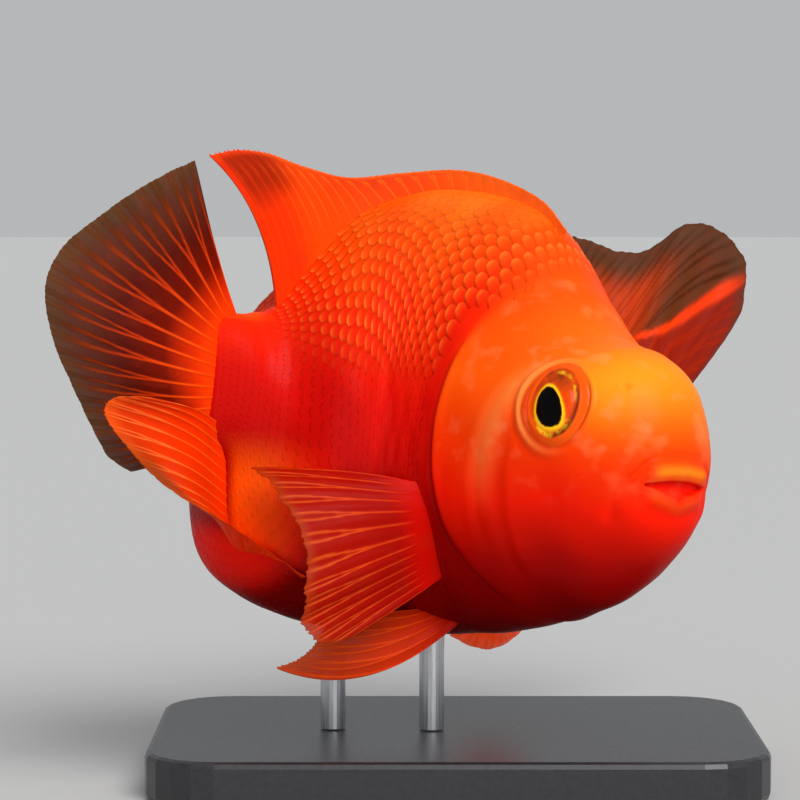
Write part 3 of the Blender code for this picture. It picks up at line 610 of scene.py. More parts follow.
def eye_relief(p):
    """Socket under each eye and the folds of skin round it."""
    r, behind = eye_distance(p)
    relief = -4.2 * fall(r, 6.9, 1.2)
    relief += 0.4 * hump(r - 7.6, 0.6)
    relief -= 0.15 * hump(r - 8.3, 0.4)
    relief += 0.4 * hump(r - 9.1, 0.7) * smooth(behind * 0.6 + 0.4)
    relief -= 0.3 * hump(r - 10.8, 0.9) * smooth(behind * 0.6 + 0.3)
    return relief


NOSTRILS = [body_point(*nearest_spot(NOSTRIL_S, NOSTRIL_H, side)) for side, word in SIDES]


def soft_relief(p):
    """Slow rise and fall that skin and scales share: flank, tail root and the foot of the dorsal fin."""
    s = p[..., 0]
    h = p[..., 2]
    relief = 0.09 * np.sin(s * 0.55 + 0.9) * np.sin(h * 0.42 + 0.04 * s) * rise(s, 4, 8)
    relief -= 0.30 * hump(s - 111.0 + 0.06 * h, 1.6)
    relief -= 0.12 * hump(s - 106.5 + 0.08 * h, 2.2) * fall(h, 20, 8)
    return relief + 0.5 * hump(p[..., 1], 1.7) * rise(h, 10, 8) * rise(s, 36, 8)


def skin_relief(p):
    """Height of the skin over the plain body, in millimetres."""
    relief = face_relief(p) + eye_relief(p) + soft_relief(p)
    relief -= (SCALE_BED + 0.135 * showing(p)) * scaled_area(p)
    for spot in NOSTRILS:
        r = np.linalg.norm(p - spot, axis=-1)
        relief += -0.6 * hump(r, 0.6) + 0.08 * hump(r - 1.2, 0.5)
    return relief


def skin_rows(count):
    """Ring places, about twice as close on the head as on the trunk, and four times at the mouth."""
    t = np.linspace(NOSE_T, 1.0, 2001)
    close = 1.0 + 1.3 * fall(t, 0.50, 0.06) + 1.6 * fall(t, 0.13, 0.05)
    total = np.concatenate([[0.0], np.cumsum((close[1:] + close[:-1]) / 2)])
    return np.interp(np.linspace(0.0, total[-1], count), total, t)


def skin_angles(count):
    """Angles round the body, closer on the sides than on back and belly."""
    w = np.linspace(0.0, 2 * np.pi, count, endpoint=False)
    return w - 0.14 * np.sin(2 * w)


def skin_surface(t, phi):
    """Straight-fish skin: body plus its normal times the relief, with the mouth drawn inwards."""
    p = body_point(t, phi)
    out = p + outward(body_point, t, phi) * skin_relief(p)[..., None]
    out[..., 0] += 1.2 * in_mouth(p)
    return p, out


def unwrap(t, phi):
    """Place of a body point on the skin's own unwrap: angle across, ring place up."""
    return np.stack([phi / (2 * np.pi), t], -1)


def make_skin(settings, colours):
    """One closed skin over head, gill covers, trunk and tail."""
    t, phi = np.meshgrid(skin_rows(settings.skin_rows), skin_angles(settings.skin_columns), indexing="ij")
    base, surface = skin_surface(t, phi)
    points = np.concatenate([surface.reshape(-1, 3), surface[[0, -1]].mean(1)])
    plain = np.concatenate([base.reshape(-1, 3), base[[0, -1]].mean(1)])
    return new_piece("skin", place(points), ball_faces(*t.shape),
                     colours={"markings": markings(plain, colours), "blotches": blotches(plain)})


# Scales


def showing(p):
    """Where the scales show: the upper flank, clear of gill cover, back and tail."""
    s = p[..., 0]
    h = p[..., 2]
    upper = rise(h, 2, 13) * fall(h, 39, 8)
    return upper * rise(s - gill_edge(h), -2, 10) * fall(s, 108, 12)


def make_scales(side, word, settings, colours):
    """Overlapping scales in staggered rings on one side of the body.

    Each scale is a thin closed plate in the body's own ring place and angle. Its root lies under
    the skin, its free end stands proud and turns towards the tail, and it is domed across.
    """
    rows, around = settings.scale_rows, settings.scales_round
    ring = np.linspace(*SCALED_T, rows)
    step = ring[1] - ring[0]
    i, j = np.meshgrid(np.arange(rows), np.arange(around), indexing="ij")
    t0 = ring[i].ravel()
    phi0 = (2 * np.pi * (j + 0.5 * (i % 2)) / around).ravel()
    chance = np.random.default_rng(5)
    t0 = t0 + chance.uniform(-0.10, 0.10, t0.shape) * step
    centre = body_point(t0, phi0)
    keep = (np.sign(centre[:, 1]) == side) & (scaled_area(centre) > 0.55)
    t0 = t0[keep]
    phi0 = phi0[keep]
    rise_of_each = chance.uniform(0.8, 1.25, t0.shape)[:, None, None]
    along = np.broadcast_to(SCALE_LENGTHS[:, None], (SCALE_LENGTHS.size, SCALE_COLUMNS))
    over = SCALE_WIDTHS[:, None] * np.linspace(-1.0, 1.0, SCALE_COLUMNS)
    t = np.clip(t0[:, None, None] + step * settings.scale_overlap * (along - 0.3), 0.0, 1.0)
    phi = phi0[:, None, None] + np.pi / around * 1.22 * over
    p = body_point(t, phi)
    bold = 0.20 + 0.42 * showing(p)
    height = settings.scale_lift * ((along * 1.4 - 1.0) * rise_of_each * bold - 0.5) - 0.08 * over**2 * bold
    normal = outward(body_point, t, phi)
    top = p + normal * (height + soft_relief(p))[..., None]
    low = top - normal * settings.scale_thickness
    plate = plate_faces(*along.shape)
    faces = plate[None] + (np.arange(len(t0)) * 2 * along.size)[:, None, None]
    tint = layer(markings(p, colours), (colours["flank"], 0.35 * fall(along, 0.75, 0.4) * showing(p)),
                 (colours["scale_edge"], rise(along, 0.74, 0.2) * showing(p) * settings.scale_edge))
    patch = np.stack([over / 2, along - 0.5], -1) * 0.003
    map_place = unwrap(t0, phi0 % (2 * np.pi))[:, None, None] + patch
    return new_piece("scales_" + word, place(np.stack([top, low], 1)), [faces.reshape(-1, 4)],
                     {"OFBake": np.stack([map_place, map_place], 1)}, {"markings": np.stack([tint, tint], 1)})


# Eyes


def make_eye(side, word):
    """Eyeball: a flattened ball about the eye's axis, with the iris a shallow dish round a domed lens.

    The iris map holds the place across the eye, in units of the iris edge.
    """
    spot, normal = surface_spot(EYE_S, EYE_H, side)
    centre = spot - normal * EYE_SUNK
    across, upright = axes_about(normal)
    forward = np.sign((place([0.0, 0.0, 0.0]) - place([30.0, 0.0, 0.0])) @ across)
    polar = np.linspace(0.0, np.pi, EYE_RINGS + 2)[1:-1]
    polar = polar - 0.25 * np.sin(2 * polar)
    turn = np.linspace(0.0, 2 * np.pi, EYE_SEGMENTS, endpoint=False)
    polar, turn = np.meshgrid(polar, turn, indexing="ij")
    r = np.sin(polar) * EYE_RADIUS
    depth = np.cos(polar) * EYE_BULGE
    dish = 0.05 * fall(r, 3.4, 1.2) - 0.30 * fall(r, 6.6, 0.6) * rise(r, 3.4, 1.0) - 0.10
    depth = depth + np.where(depth > 0, dish, 0.0)
    x, y = r * np.cos(turn), r * np.sin(turn)
    ball = centre + (x * EYE_WIDE)[..., None] * across + y[..., None] * upright + depth[..., None] * normal
    poles = [centre + normal * (EYE_BULGE - 0.05), centre - normal * EYE_BULGE]
    flat = np.stack([x * forward, y], -1).reshape(-1, 2) / IRIS_EDGE
    return new_piece("eyeball_" + word, np.concatenate([ball.reshape(-1, 3), poles]),
                     ball_faces(EYE_RINGS, EYE_SEGMENTS), {"iris": np.concatenate([flat, np.zeros((2, 2))])})


# Fins


def along_curve(control, count):
    """Evenly spread samples of a smooth curve through control points."""
    return spline_rows(np.asarray(control, float), np.linspace(0.0, 1.0, count))


def parabola(root, bend_at, tip, v):
    """Rays as parabolas from root to tip, drawn towards bend_at."""
    return root[:, None] * (1 - v)**2 + 2 * bend_at[:, None] * v * (1 - v) + tip[:, None] * v**2


def median_grid(root, tip, bows, v):
    """World points of a fin in the midline: rays drawn in (s, h), swung aside towards their tips."""
    columns = v.shape[0]
    lean = np.linspace(bows[0], bows[1], columns)[:, None]
    r = along_curve(root, columns)
    p = along_curve(tip, columns)
    flat_tip = p[:, [0, 2]]
    bow = lean * np.stack([r[:, 1] - flat_tip[:, 1], flat_tip[:, 0] - r[:, 0]], -1)
    flat = parabola(r, (r + flat_tip) / 2 + bow, flat_tip, v[..., None])
    side = p[:, 1:2] * v**1.6
    return place(np.stack([flat[..., 0], side, flat[..., 1]], -1))


def paired_grid(side, root_s, root_h, tips, sag, bow, v):
    """World points of a fin on the flank: rays bow out from it, and the first ones sag."""
    columns = v.shape[0]
    ends = [surface_spot(s, h, side) for s, h in zip(root_s, root_h)]
    spots = np.array([e[0] for e in ends])
    inward = -np.mean([e[1] for e in ends], axis=0)
    share = np.linspace(0.0, 1.0, columns)[:, None]
    root = spots[0] * (1 - share) + spots[1] * share + inward * PAIRED_ROOT_DEPTH
    tip = lift(along_curve(tips, columns))
    bend_at = (root + tip) / 2 - inward * bow - np.array([0.0, 0.0, 1.0]) * sag * (1 - share)**2
    return parabola(root, bend_at, tip, v[..., None])


def ray_profile(u, v, rays, forks):
    """Ray height from 0 on the web to 1 on a ray.

    A ray lies at each whole number. Past each fork it parts in two, and the branches spread and
    narrow towards the margin.
    """
    distance = np.abs(u * (rays - 1) - np.round(u * (rays - 1)))
    for start, spread in forks:
        distance = np.abs(distance - spread * rise(v, start, 0.45))
    return hump(distance, 0.115 - 0.07 * v)


def twice(value):
    """The same values for a sheet's upper and lower side."""
    return np.stack([value, value])


def make_fin(name, point_grid, rays, forks, rows, look, *nodes):
    """Closed fin: a web with raised rays, drawn in between the rays at its margin.

    point_grid(v) gives the middle sheet, with v each column's own share of its length. look holds
    the web, ray and root thickness, how far the margin is drawn in and frayed, and the colours.
    """
    u = np.linspace(0.0, 1.0, (rays - 1) * look["per_ray"] + 1)[:, None]
    share = np.linspace(0.0, 1.0, rows)[None, :]
    swept = u - look["sweep"] * np.maximum(share - 0.62, 0.0)
    at_tip = ray_profile(swept[:, -1:], np.ones_like(u), rays, forks)
    chance = np.random.default_rng(look["seed"])
    fray = np.interp(u[:, 0] * (rays - 1), np.arange(rays), chance.uniform(0.0, 1.0, rays))[:, None]
    middle = point_grid(share * (1.0 - look["notch"] * (1.0 - at_tip) - look["fray"] * fray))
    u, share = np.broadcast_arrays(u, share)
    ray = ray_profile(swept, share, rays, forks) * rise(share, look["lobe"], 0.14)
    normal = np.cross(np.gradient(middle, axis=0), np.gradient(middle, axis=1))
    normal = normal / np.maximum(np.linalg.norm(normal, axis=-1, keepdims=True), 1e-9)
    phase = 2 * np.pi * u * (rays - 1)
    ripple = look["ripple"] * smooth(share * 1.3) * (0.35 * np.cos(phase) + np.sin(phase / 5.3 + 3 * share))
    root = look["root"] * (1 - share)**3 * (0.25 + 0.75 * np.sin(np.pi * u)**0.5)
    thick = look["web"] + look["ray"] * ray * (1.0 - 0.75 * share) + root
    thick = thick * (0.35 + 0.65 * fall(share, 1.0, 0.05))
    middle = middle + normal * ripple[..., None]
    half = normal * thick[..., None] / 2
    tint = look["tint"](u, share, ray)
    solid = look["solid"](u, share, ray)
    obj = new_piece(name, twice(middle) + np.stack([half, -half]), [plate_faces(*thick.shape)],
                    {"fin": twice(np.stack([u, share], -1))},
                    {"markings": twice(tint), "glow": twice(tint * look["glow"]), "solid": twice(solid)})
    settle(obj, fin_material(), nodes[0], *nodes)


def layered(base, web, rays, margin, start=0.12, rim=0.82):
    """Fin colour: the body's at the root, web and rays past it, and the margin's own at the edge.

    web and rays are lists of (share of length, colour), read straight between the stops.
    """
    def tint(u, v, ray):
        colour = blend(grade(v, web), grade(v, rays), smooth(ray * 1.7 - 0.5))
        return layer(colour, (margin, rise(v, rim, 1.0 - rim) * (1.0 - 0.35 * ray)),
                     (base, 1.0 - rise(v, start, 0.2)))
    return tint


def dorsal_tint(back):
    """Orange along the front, redder behind, with a brown patch on the upper part of the rear lobe."""
    web = [(0.0, back), (1.0, rgb(236, 62, 6))]
    rays = stops((0.0, 255, 88, 10), (1.0, 255, 110, 24))
    plain = layered(back, web, rays, rgb(250, 92, 22), 0.15, 0.88)

    def tint(u, v, ray):
        patch = rise(u, 0.72, 0.12) * rise(v, 0.50, 0.25) * fall(u, 0.985, 0.02)
        return layer(plain(u, v, ray), (rgb(255, 108, 24), fall(u, 0.5, 0.3) * 0.8),
                     (rgb(232, 36, 2), rise(u, 0.75, 0.15) * 0.7),
                     (rgb(150, 34, 2), patch * fall(v, 1.0, 0.06) * (0.85 - 0.4 * ray)))
    return tint


def anal_tint():
    """Orange-red with pale rays, a bright front edge and a brown clear corner under the tip."""
    web = stops((0.0, 255, 54, 1), (0.5, 246, 50, 2), (1.0, 222, 56, 5))
    rays = stops((0.0, 255, 90, 10), (0.5, 255, 104, 22), (1.0, 255, 128, 60))
    plain = layered(rgb(255, 54, 1), web, rays, rgb(244, 84, 18), 0.1, 0.9)

    def tint(u, v, ray):
        return layer(plain(u, v, ray), (rgb(140, 58, 12), hump(u - 0.50, 0.13) * rise(v, 0.80, 0.15) * 0.9),
                     (rgb(255, 48, 2), fall(u, 0.34, 0.1) * rise(v, 0.3, 0.3) * 0.85))
    return tint


def far_pectoral_tint(u, v, ray):
    """Brown web lit orange near the body, one bright fold across the fan, deep red-brown below it."""
    crest = np.interp(u, *FOLD_CREST)
    slope = np.interp(u, *FOLD_SLOPE)
    away = (v - crest) / np.hypot(1.0, 1.65 * slope)
    below = smooth(0.5 - away / 0.02)
    web = blend(rgb(100, 46, 12), rgb(150, 26, 1), below)
    rays = blend(rgb(62, 22, 5), rgb(172, 36, 3), below)
    near_body = fall(v, 0.95, 0.14) * fall(u, 0.46, 0.16) * (1.0 - below)
    fold = smooth(hump(away, 0.012) * 1.2) * fall(v, 1.04, 0.14)
    return layer(web, (rays, smooth(ray * 1.2) * 0.8), (rgb(214, 62, 6), near_body * (0.8 - 0.4 * ray)),
                 (rgb(84, 54, 30), rise(v, 0.88, 0.12) * 0.7), (rgb(255, 62, 4), fold),
                 (rgb(224, 62, 8), 1.0 - rise(v, 0.35, 0.2)))


def solidity(web, margin):
    """Opacity: full on the root and the rays, less on the web, least at the margin."""
    def solid(u, v, ray):
        thin = web + (margin - web) * rise(v, 0.35, 0.65)
        root = 1.0 - rise(v, 0.10, 0.25)
        stiff = smooth(ray * 1.3) * (1.0 - 0.6 * rise(v, 0.75, 0.25))
        return np.maximum(root, thin + (0.98 - thin) * stiff)
    return solid


# Materials


def feed(made, **values):
    """Give a node its settings, and its inputs a value or a link, by name with spaces as underscores."""
    for key, value in values.items():
        name = key.replace("_", " ")
        if name not in made.inputs:
            setattr(made, key, value)
        elif isinstance(value, bpy.types.NodeSocket):
            made.id_data.links.new(value, made.inputs[name])
        elif made.inputs[name].type == "RGBA":
            made.inputs[name].default_value = (*value, 1.0)
        else:
            made.inputs[name].default_value = value
    return made


def node(tree, kind, **values):
    """New shader node with its settings and inputs."""
    return feed(tree.nodes.new("ShaderNode" + kind), **values)


def arithmetic(tree, operation, *values):
    """Output of a maths node whose inputs are sockets or numbers."""
    made = node(tree, "Math", operation=operation)
    for k, value in enumerate(values):
        if isinstance(value, bpy.types.NodeSocket):
            tree.links.new(value, made.inputs[k])
        else:
            made.inputs[k].default_value = value
    return made.outputs[0]


def product(tree, first, *others):
    """Output of a chain of multiplications."""
    for other in others:
        first = arithmetic(tree, "MULTIPLY", first, other)
    return first


def across_plane(tree, x, y):
    """Distance from the origin: the square root of x squared plus y squared."""
    return arithmetic(tree, "SQRT", arithmetic(tree, "MULTIPLY_ADD", x, x, product(tree, y, y)))


def between(tree, value, low, high, top=1.0, bottom=0.0):
    """Value mapped from low..high to bottom..top and held there."""
    made = node(tree, "MapRange", Value=value, From_Min=low, From_Max=high, To_Min=bottom, To_Max=top)
    return made.outputs["Result"]


def noise(tree, place_on, scale, detail, roughness):
    """Value of a noise texture at a place."""
    made = node(tree, "TexNoise", Vector=place_on, Scale=scale, Detail=detail, Roughness=roughness)
    return made.outputs["Fac"]


def bump(tree, height, strength, distance):
    """Normal bent by a height."""
    return node(tree, "Bump", Height=height, Strength=strength, Distance=distance).outputs["Normal"]


def attribute(tree, name, output="Color"):
    """Colour or value of a piece's own attribute."""
    return node(tree, "Attribute", attribute_name=name).outputs[output]


def mixed(tree, share, base, colour):
    """Base colour mixed towards another by a share."""
    return node(tree, "Mix", data_type="RGBA", Factor=share, A=base, B=colour).outputs["Result"]


def ramp(tree, value, marks):
    """Colour read along a value from (place, colour) marks."""
    made = node(tree, "ValToRGB", Fac=value)
    elements = made.color_ramp.elements
    while len(elements) < len(marks):
        elements.new(0.5)
    for element, (at, colour) in zip(elements, marks):
        element.position = at
        element.color = (*colour, 1.0)
    return made.outputs["Color"]


def new_material(name):
    """Material with an emptied tree, a shader and its output."""
    material = bpy.data.materials.new(name)
    material.use_nodes = True
    tree = material.node_tree
    tree.nodes.clear()
    shader = node(tree, "BsdfPrincipled")
    node(tree, "OutputMaterial", Surface=shader.outputs["BSDF"])
    return material, tree, shader


def mottle_group():
    """Group that mottles a colour with soft patches and fine specks, and gives a height and a roughness."""
    name = "skin mottle"
    if name in bpy.data.node_groups:
        return bpy.data.node_groups[name]
    group = bpy.data.node_groups.new(name, "ShaderNodeTree")
    for way, sockets in (
            ("INPUT", {"Colour": "Color", "Patch": "Float", "Patch colour": "Color", "Fine size": "Float"}),
            ("OUTPUT", {"Colour": "Color", "Height": "Float", "Roughness": "Float"})):
        for socket, kind in sockets.items():
            group.interface.new_socket(socket, in_out=way, socket_type="NodeSocket" + kind)
    given = group.nodes.new("NodeGroupInput").outputs
    place_on = node(group, "TexCoord").outputs["Object"]
    soft = noise(group, place_on, 190.0, 2.0, 0.5)
    fine = noise(group, place_on, given["Fine size"], 2.0, 0.6)
    broad = noise(group, place_on, 26.0, 2.0, 0.5)
    share = product(group, between(group, soft, 0.54, 0.70), given["Patch"])
    patchy = mixed(group, share, given["Colour"], given["Patch colour"])
    toned = node(group, "VectorMath", operation="SCALE", Vector=patchy,
                 Scale=between(group, broad, 0.3, 0.7, 1.1, 0.85))
    feed(group.nodes.new("NodeGroupOutput"), Colour=toned.outputs["Vector"], Height=fine,
         Roughness=between(group, soft, 0.3, 0.7, 0.54, 0.36))
    return group


def mottled(tree, patch, patch_colour, fine_size):
    """Outputs of the mottle group, fed with the markings attribute."""
    return node(tree, "Group", node_tree=mottle_group(), Colour=attribute(tree, "markings"), Patch=patch,
                Patch_colour=patch_colour, Fine_size=fine_size).outputs


def fish_material(name, patch, patch_colour, fine_size, bump_depth, coat):
    """Moist skin: the markings attribute, mottled, with fine pores as bump and a thin wet coat."""
    material, tree, shader = new_material(name)
    mottle = mottled(tree, product(tree, attribute(tree, "blotches", "Fac"), patch), patch_colour, fine_size)
    feed(shader, Base_Color=mottle["Colour"], Roughness=mottle["Roughness"],
         Normal=bump(tree, mottle["Height"], 0.35, bump_depth), Specular_IOR_Level=FLESH_SPECULAR,
         Subsurface_Weight=0.12, Subsurface_Radius=(1.0, 0.25, 0.1), Subsurface_Scale=FLESH_DEPTH,
         Coat_Weight=coat, Coat_Roughness=0.22)
    return material


def fin_material():
    """Translucent fin: colour, opacity and a painted glow for the light it lets through, from its own
    attributes.
    """
    name = "fin"
    if name in bpy.data.materials:
        return bpy.data.materials[name]
    material, tree, shader = new_material(name)
    mottle = mottled(tree, 0.15, rgb(150, 40, 15), 900.0)
    joints = node(tree, "TexWave", wave_type="BANDS", bands_direction="Y", Scale=22.0, Distortion=0.6,
                  Vector=node(tree, "UVMap", uv_map="fin").outputs["UV"])
    height = arithmetic(tree, "ADD", joints.outputs["Fac"], mottle["Height"])
    feed(shader, Base_Color=mottle["Colour"], Roughness=mottle["Roughness"],
         Normal=bump(tree, height, 0.25, 0.00006), Specular_IOR_Level=FLESH_SPECULAR,
         Subsurface_Weight=0.15, Subsurface_Radius=(1.0, 0.3, 0.1), Subsurface_Scale=FLESH_DEPTH,
         Coat_Weight=0.02, Coat_Roughness=0.25, Alpha=attribute(tree, "solid", "Fac"),
         Emission_Color=attribute(tree, "glow"), Emission_Strength=1.0)
    return material


def eye_material():
    """Eye: black pupil, narrower above, a thin golden ring, then orange-red to brown at the rim."""
    material, tree, shader = new_material("eye")

    def band(*values):
        return between(tree, *values)

    def sloped(value, factor, add):
        return arithmetic(tree, "MULTIPLY_ADD", value, factor, add)

    place_on = node(tree, "UVMap", uv_map="iris").outputs["UV"]
    parts = node(tree, "SeparateXYZ", Vector=place_on).outputs
    x, y = parts["X"], parts["Y"]
    up = sloped(y, 0.88, 0.15)
    across = arithmetic(tree, "ADD", sloped(up, 0.20, x), 0.17)
    egg = across_plane(tree, product(tree, across, sloped(up, 0.42, 1.10)), up)
    rim = across_plane(tree, sloped(x, 1.0 / IRIS_NARROW, 0.03), y)
    flecks = noise(tree, place_on, 5.5, 4.0, 0.65)
    streaks = noise(tree, place_on, 2.2, 3.0, 0.6)
    edge = arithmetic(tree, "ADD", egg, sloped(flecks, 0.08, -0.04))
    outer = band(edge, 0.57, 0.63)
    colour = ramp(tree, edge, stops(
        (0.0, 2, 1, 1), (0.470, 2, 1, 1), (0.490, 110, 50, 0), (0.515, 255, 205, 30), (0.570, 255, 180, 14),
        (0.615, 228, 84, 4), (0.70, 220, 66, 4), (1.0, 226, 74, 8)))
    brown = (band(y, 0.15, 0.70, 0.85), outer, band(streaks, 0.30, 0.55))
    gold_spots = (band(y, -0.45, -0.66), band(flecks, 0.44, 0.54), outer)
    gold_arc = (band(rim, 0.78, 0.85), band(rim, 0.96, 0.90),
                band(arithmetic(tree, "ADD", x, y), 0.62, 0.95), band(streaks, 0.40, 0.55, 0.9))
    shadow = (band(rim, 0.80, 0.95, 0.85), band(sloped(y, -0.5, x), 0.15, 0.6))
    for tone, masks in (((120, 44, 6), brown), ((255, 196, 34), gold_spots), ((255, 185, 24), gold_arc),
                        ((84, 20, 4), shadow), ((246, 86, 8), (band(rim, 0.97, 1.05),))):
        colour = mixed(tree, product(tree, *masks), colour, rgb(*tone))
    feed(shader, Base_Color=colour, Roughness=0.3, Specular_IOR_Level=0.04, Coat_Weight=0.08,
         Coat_Roughness=0.06)
    return material


def plain_material(name, colour, roughness, metallic, stretch, grain):
    """Stand finish: fine grain in colour, roughness and bump, drawn out along one axis by stretch."""
    material, tree, shader = new_material(name)
    mapping = node(tree, "Mapping", Vector=node(tree, "TexCoord").outputs["Object"], Scale=stretch)
    grains = noise(tree, mapping.outputs["Vector"], grain, 4.0, 0.6)
    tones = ramp(tree, grains, [(0.3, np.multiply(colour, 0.8)), (0.7, np.multiply(colour, 1.25))])
    feed(shader, Base_Color=tones, Normal=bump(tree, grains, 0.2, 0.00004), Metallic=metallic,
         Roughness=between(tree, grains, 0.0, 1.0, roughness * 1.25, roughness * 0.8))
    return material


# Settings


class CichlidSkinSettings(bpy.types.PropertyGroup):
    """Fineness of the skin and size of its scales."""
    skin_rows: IntProperty(name="Skin rings", description="Rings of the skin's mesh", default=330, min=40)
    skin_columns: IntProperty(name="Skin columns", description="Points round each ring", default=288, min=24)
    scale_rows: IntProperty(name="Scale rows", description="Rings of scales", default=44, min=4)
    scales_round: IntProperty(name="Scales round", description="Scales round each ring", default=62, min=8)
    scale_overlap: FloatProperty(name="Scale length", description="Length of a scale in rows", default=2.1)
    scale_lift: FloatProperty(name="Scale lift", description="Rise of the free end, in mm", default=0.26)
    scale_thickness: FloatProperty(name="Scale thickness", description="Thickness in mm", default=0.14)
    scale_edge: FloatProperty(name="Pale scale edge", description="Share of the pale edge colour",
                              default=0.55, subtype="FACTOR")


def colour_property(name, description, red, green, blue):
    """Colour setting whose default is given as a display colour."""
    return FloatVectorProperty(name=name, description=description, subtype="COLOR", min=0.0, max=1.0,
                               default=tuple(float(c) for c in rgb(red, green, blue)))


class CichlidColourSettings(bpy.types.PropertyGroup):
    """Colours of the fish."""
    # By height, the lighter back and ridge carry painted light and the darker chin, lower flank and belly
    # painted shade, over the fish's own reds. On the lips, forehead and temple colours are painted
    # highlights.
    forehead: colour_property("Forehead", "Forehead and upper lip", 255, 148, 26)
    temple: colour_property("Temple", "Skin level with the eye", 255, 90, 4)
    cheek: colour_property("Cheek", "Cheek and gill cover", 255, 58, 0)
    jaw: colour_property("Jaw", "Skin round the mouth's lower edge", 255, 26, 0)
    chin: colour_property("Chin", "Chin and throat", 178, 4, 0)
    ridge: colour_property("Ridge", "Foot of the dorsal fin", 255, 108, 18)
    back: colour_property("Back", "Back", 255, 76, 2)
    high_flank: colour_property("Upper flank", "Flank over the middle", 250, 36, 0)
    flank: colour_property("Flank", "Middle of the flank", 212, 9, 0)
    low_flank: colour_property("Lower flank", "Flank under the middle", 166, 1, 0)
    belly: colour_property("Belly", "Belly", 120, 0, 0)
    # The pale fold behind each eye is partly painted highlight on its rim.
    fold: colour_property("Folds", "Pale folds of the face", 255, 150, 70)
    gullet: colour_property("Mouth", "Inside of the mouth", 255, 20, 0)
    scale_edge: colour_property("Scale edge", "Pale edge of a scale", 255, 128, 40)


class CichlidStageSettings(bpy.types.PropertyGroup):
    """Camera and light."""
    distance: FloatProperty(name="Distance", description="Camera to the middle of the bend", default=0.62,
                            unit="LENGTH")
    elevation: FloatProperty(name="Elevation", description="Camera height as an angle",
                             default=float(np.radians(4.0)), subtype="ANGLE")
    lens: FloatProperty(name="Lens", description="Focal length in mm on a 36 mm sensor", default=140.9)
    key_power: FloatProperty(name="Key light", description="Strength of the soft sun", default=2.6)
    fill_power: FloatProperty(name="Fill light", description="Power of the fill lamp", default=1.8,
                              unit="POWER")


def setting_names(settings):
    """Names of the settings in a group."""
    return [key for key in settings.bl_rna.properties.keys() if key not in ("rna_type", "name")]


def fish_colours(scene):
    """The colour settings as arrays."""
    settings = scene.cichlid_colours
    return {key: np.array(getattr(settings, key)[:]) for key in setting_names(settings)}


# Operators


class CICHLID_OT_skin(bpy.types.Operator):
    """Skin over head, gill covers, trunk and tail"""
    bl_idname = "cichlid.skin"
    bl_label = "Skin"

    def execute(self, context):
        # The pale patch colour of the head's mottles: partly its own mottling, partly painted glints.
        finish = fish_material("moist skin", 0.32, rgb(255, 150, 90), 1100.0, 0.0001, 0.035)
        skin = make_skin(context.scene.cichlid_skin, fish_colours(context.scene))
        settle(skin, finish, "head", "head", "gill_cover_right", "gill_cover_left", "trunk", "tail")
        return {"FINISHED"}


class CICHLID_OT_scales(bpy.types.Operator):
    """Scales on both flanks"""
    bl_idname = "cichlid.scales"
    bl_label = "Scales"

    def execute(self, context):
        finish = fish_material("scales", 0.15, rgb(255, 140, 60), 1300.0, 0.00005, 0.045)
        for side, word in SIDES:
            scales = make_scales(side, word, context.scene.cichlid_skin, fish_colours(context.scene))
            settle(scales, finish, "trunk")
        return {"FINISHED"}


class CICHLID_OT_eyes(bpy.types.Operator):
    """Both eyes"""
    bl_idname = "cichlid.eyes"
    bl_label = "Eyes"

    def execute(self, context):
        finish = eye_material()
        for side, word in SIDES:
            settle(make_eye(side, word), finish, "eye_" + word, "eye_" + word)
        return {"FINISHED"}


class CICHLID_OT_fins(bpy.types.Operator):
    """Dorsal, caudal, anal, pectoral and pelvic fins"""
    bl_idname = "cichlid.fins"
    bl_label = "Fins"

    def execute(self, context):
        colours = fish_colours(context.scene)
        make_median_fins(colours["back"])
        make_paired_fins(colours["low_flank"])
        return {"FINISHED"}


def make_median_fins(back):
    """Dorsal, caudal and anal fins, each from its own rays, thickness and colours."""
    dorsal = dict(FIN_LOOK, notch=0.015, ripple=0.12, per_ray=10, ray=0.26, tint=dorsal_tint(back),
                  solid=solidity(0.98, 0.92))
    make_fin("dorsal_fin", partial(median_grid, DORSAL_ROOT, DORSAL_TIP, DORSAL_BOWS),
             DORSAL_RAYS, ((0.6, 0.2),), 60, dorsal, "dorsal_fin_front", "dorsal_fin_rear")
    caudal_web = stops((0.0, 255, 72, 4), (0.20, 222, 46, 2), (0.38, 112, 16, 1), (0.60, 82, 12, 1),
                       (0.82, 88, 30, 3))
    caudal_rays = stops((0.0, 255, 84, 6), (0.25, 252, 82, 8), (0.5, 196, 50, 4), (0.75, 140, 44, 5),
                        (0.9, 104, 42, 6))
    caudal = dict(FIN_LOOK, ripple=0.35, per_ray=18, solid=solidity(0.99, 0.80),
                  tint=layered(rgb(255, 62, 2), caudal_web, caudal_rays, rgb(82, 50, 13), 0.03, 0.84))
    make_fin("caudal_fin_rays", partial(median_grid, CAUDAL_ROOT, CAUDAL_TIP, CAUDAL_BOWS), CAUDAL_RAYS,
             ((0.35, 0.22), (0.65, 0.10)), 110, caudal, "caudal_fin")
    anal = dict(FIN_LOOK, ripple=0.2, notch=0.01, solid=solidity(0.99, 0.88), tint=anal_tint())
    make_fin("anal_fin_rays", partial(median_grid, ANAL_ROOT, ANAL_TIP, ANAL_BOWS), ANAL_RAYS,
             ((0.6, 0.18),), 80, anal, "anal_fin")


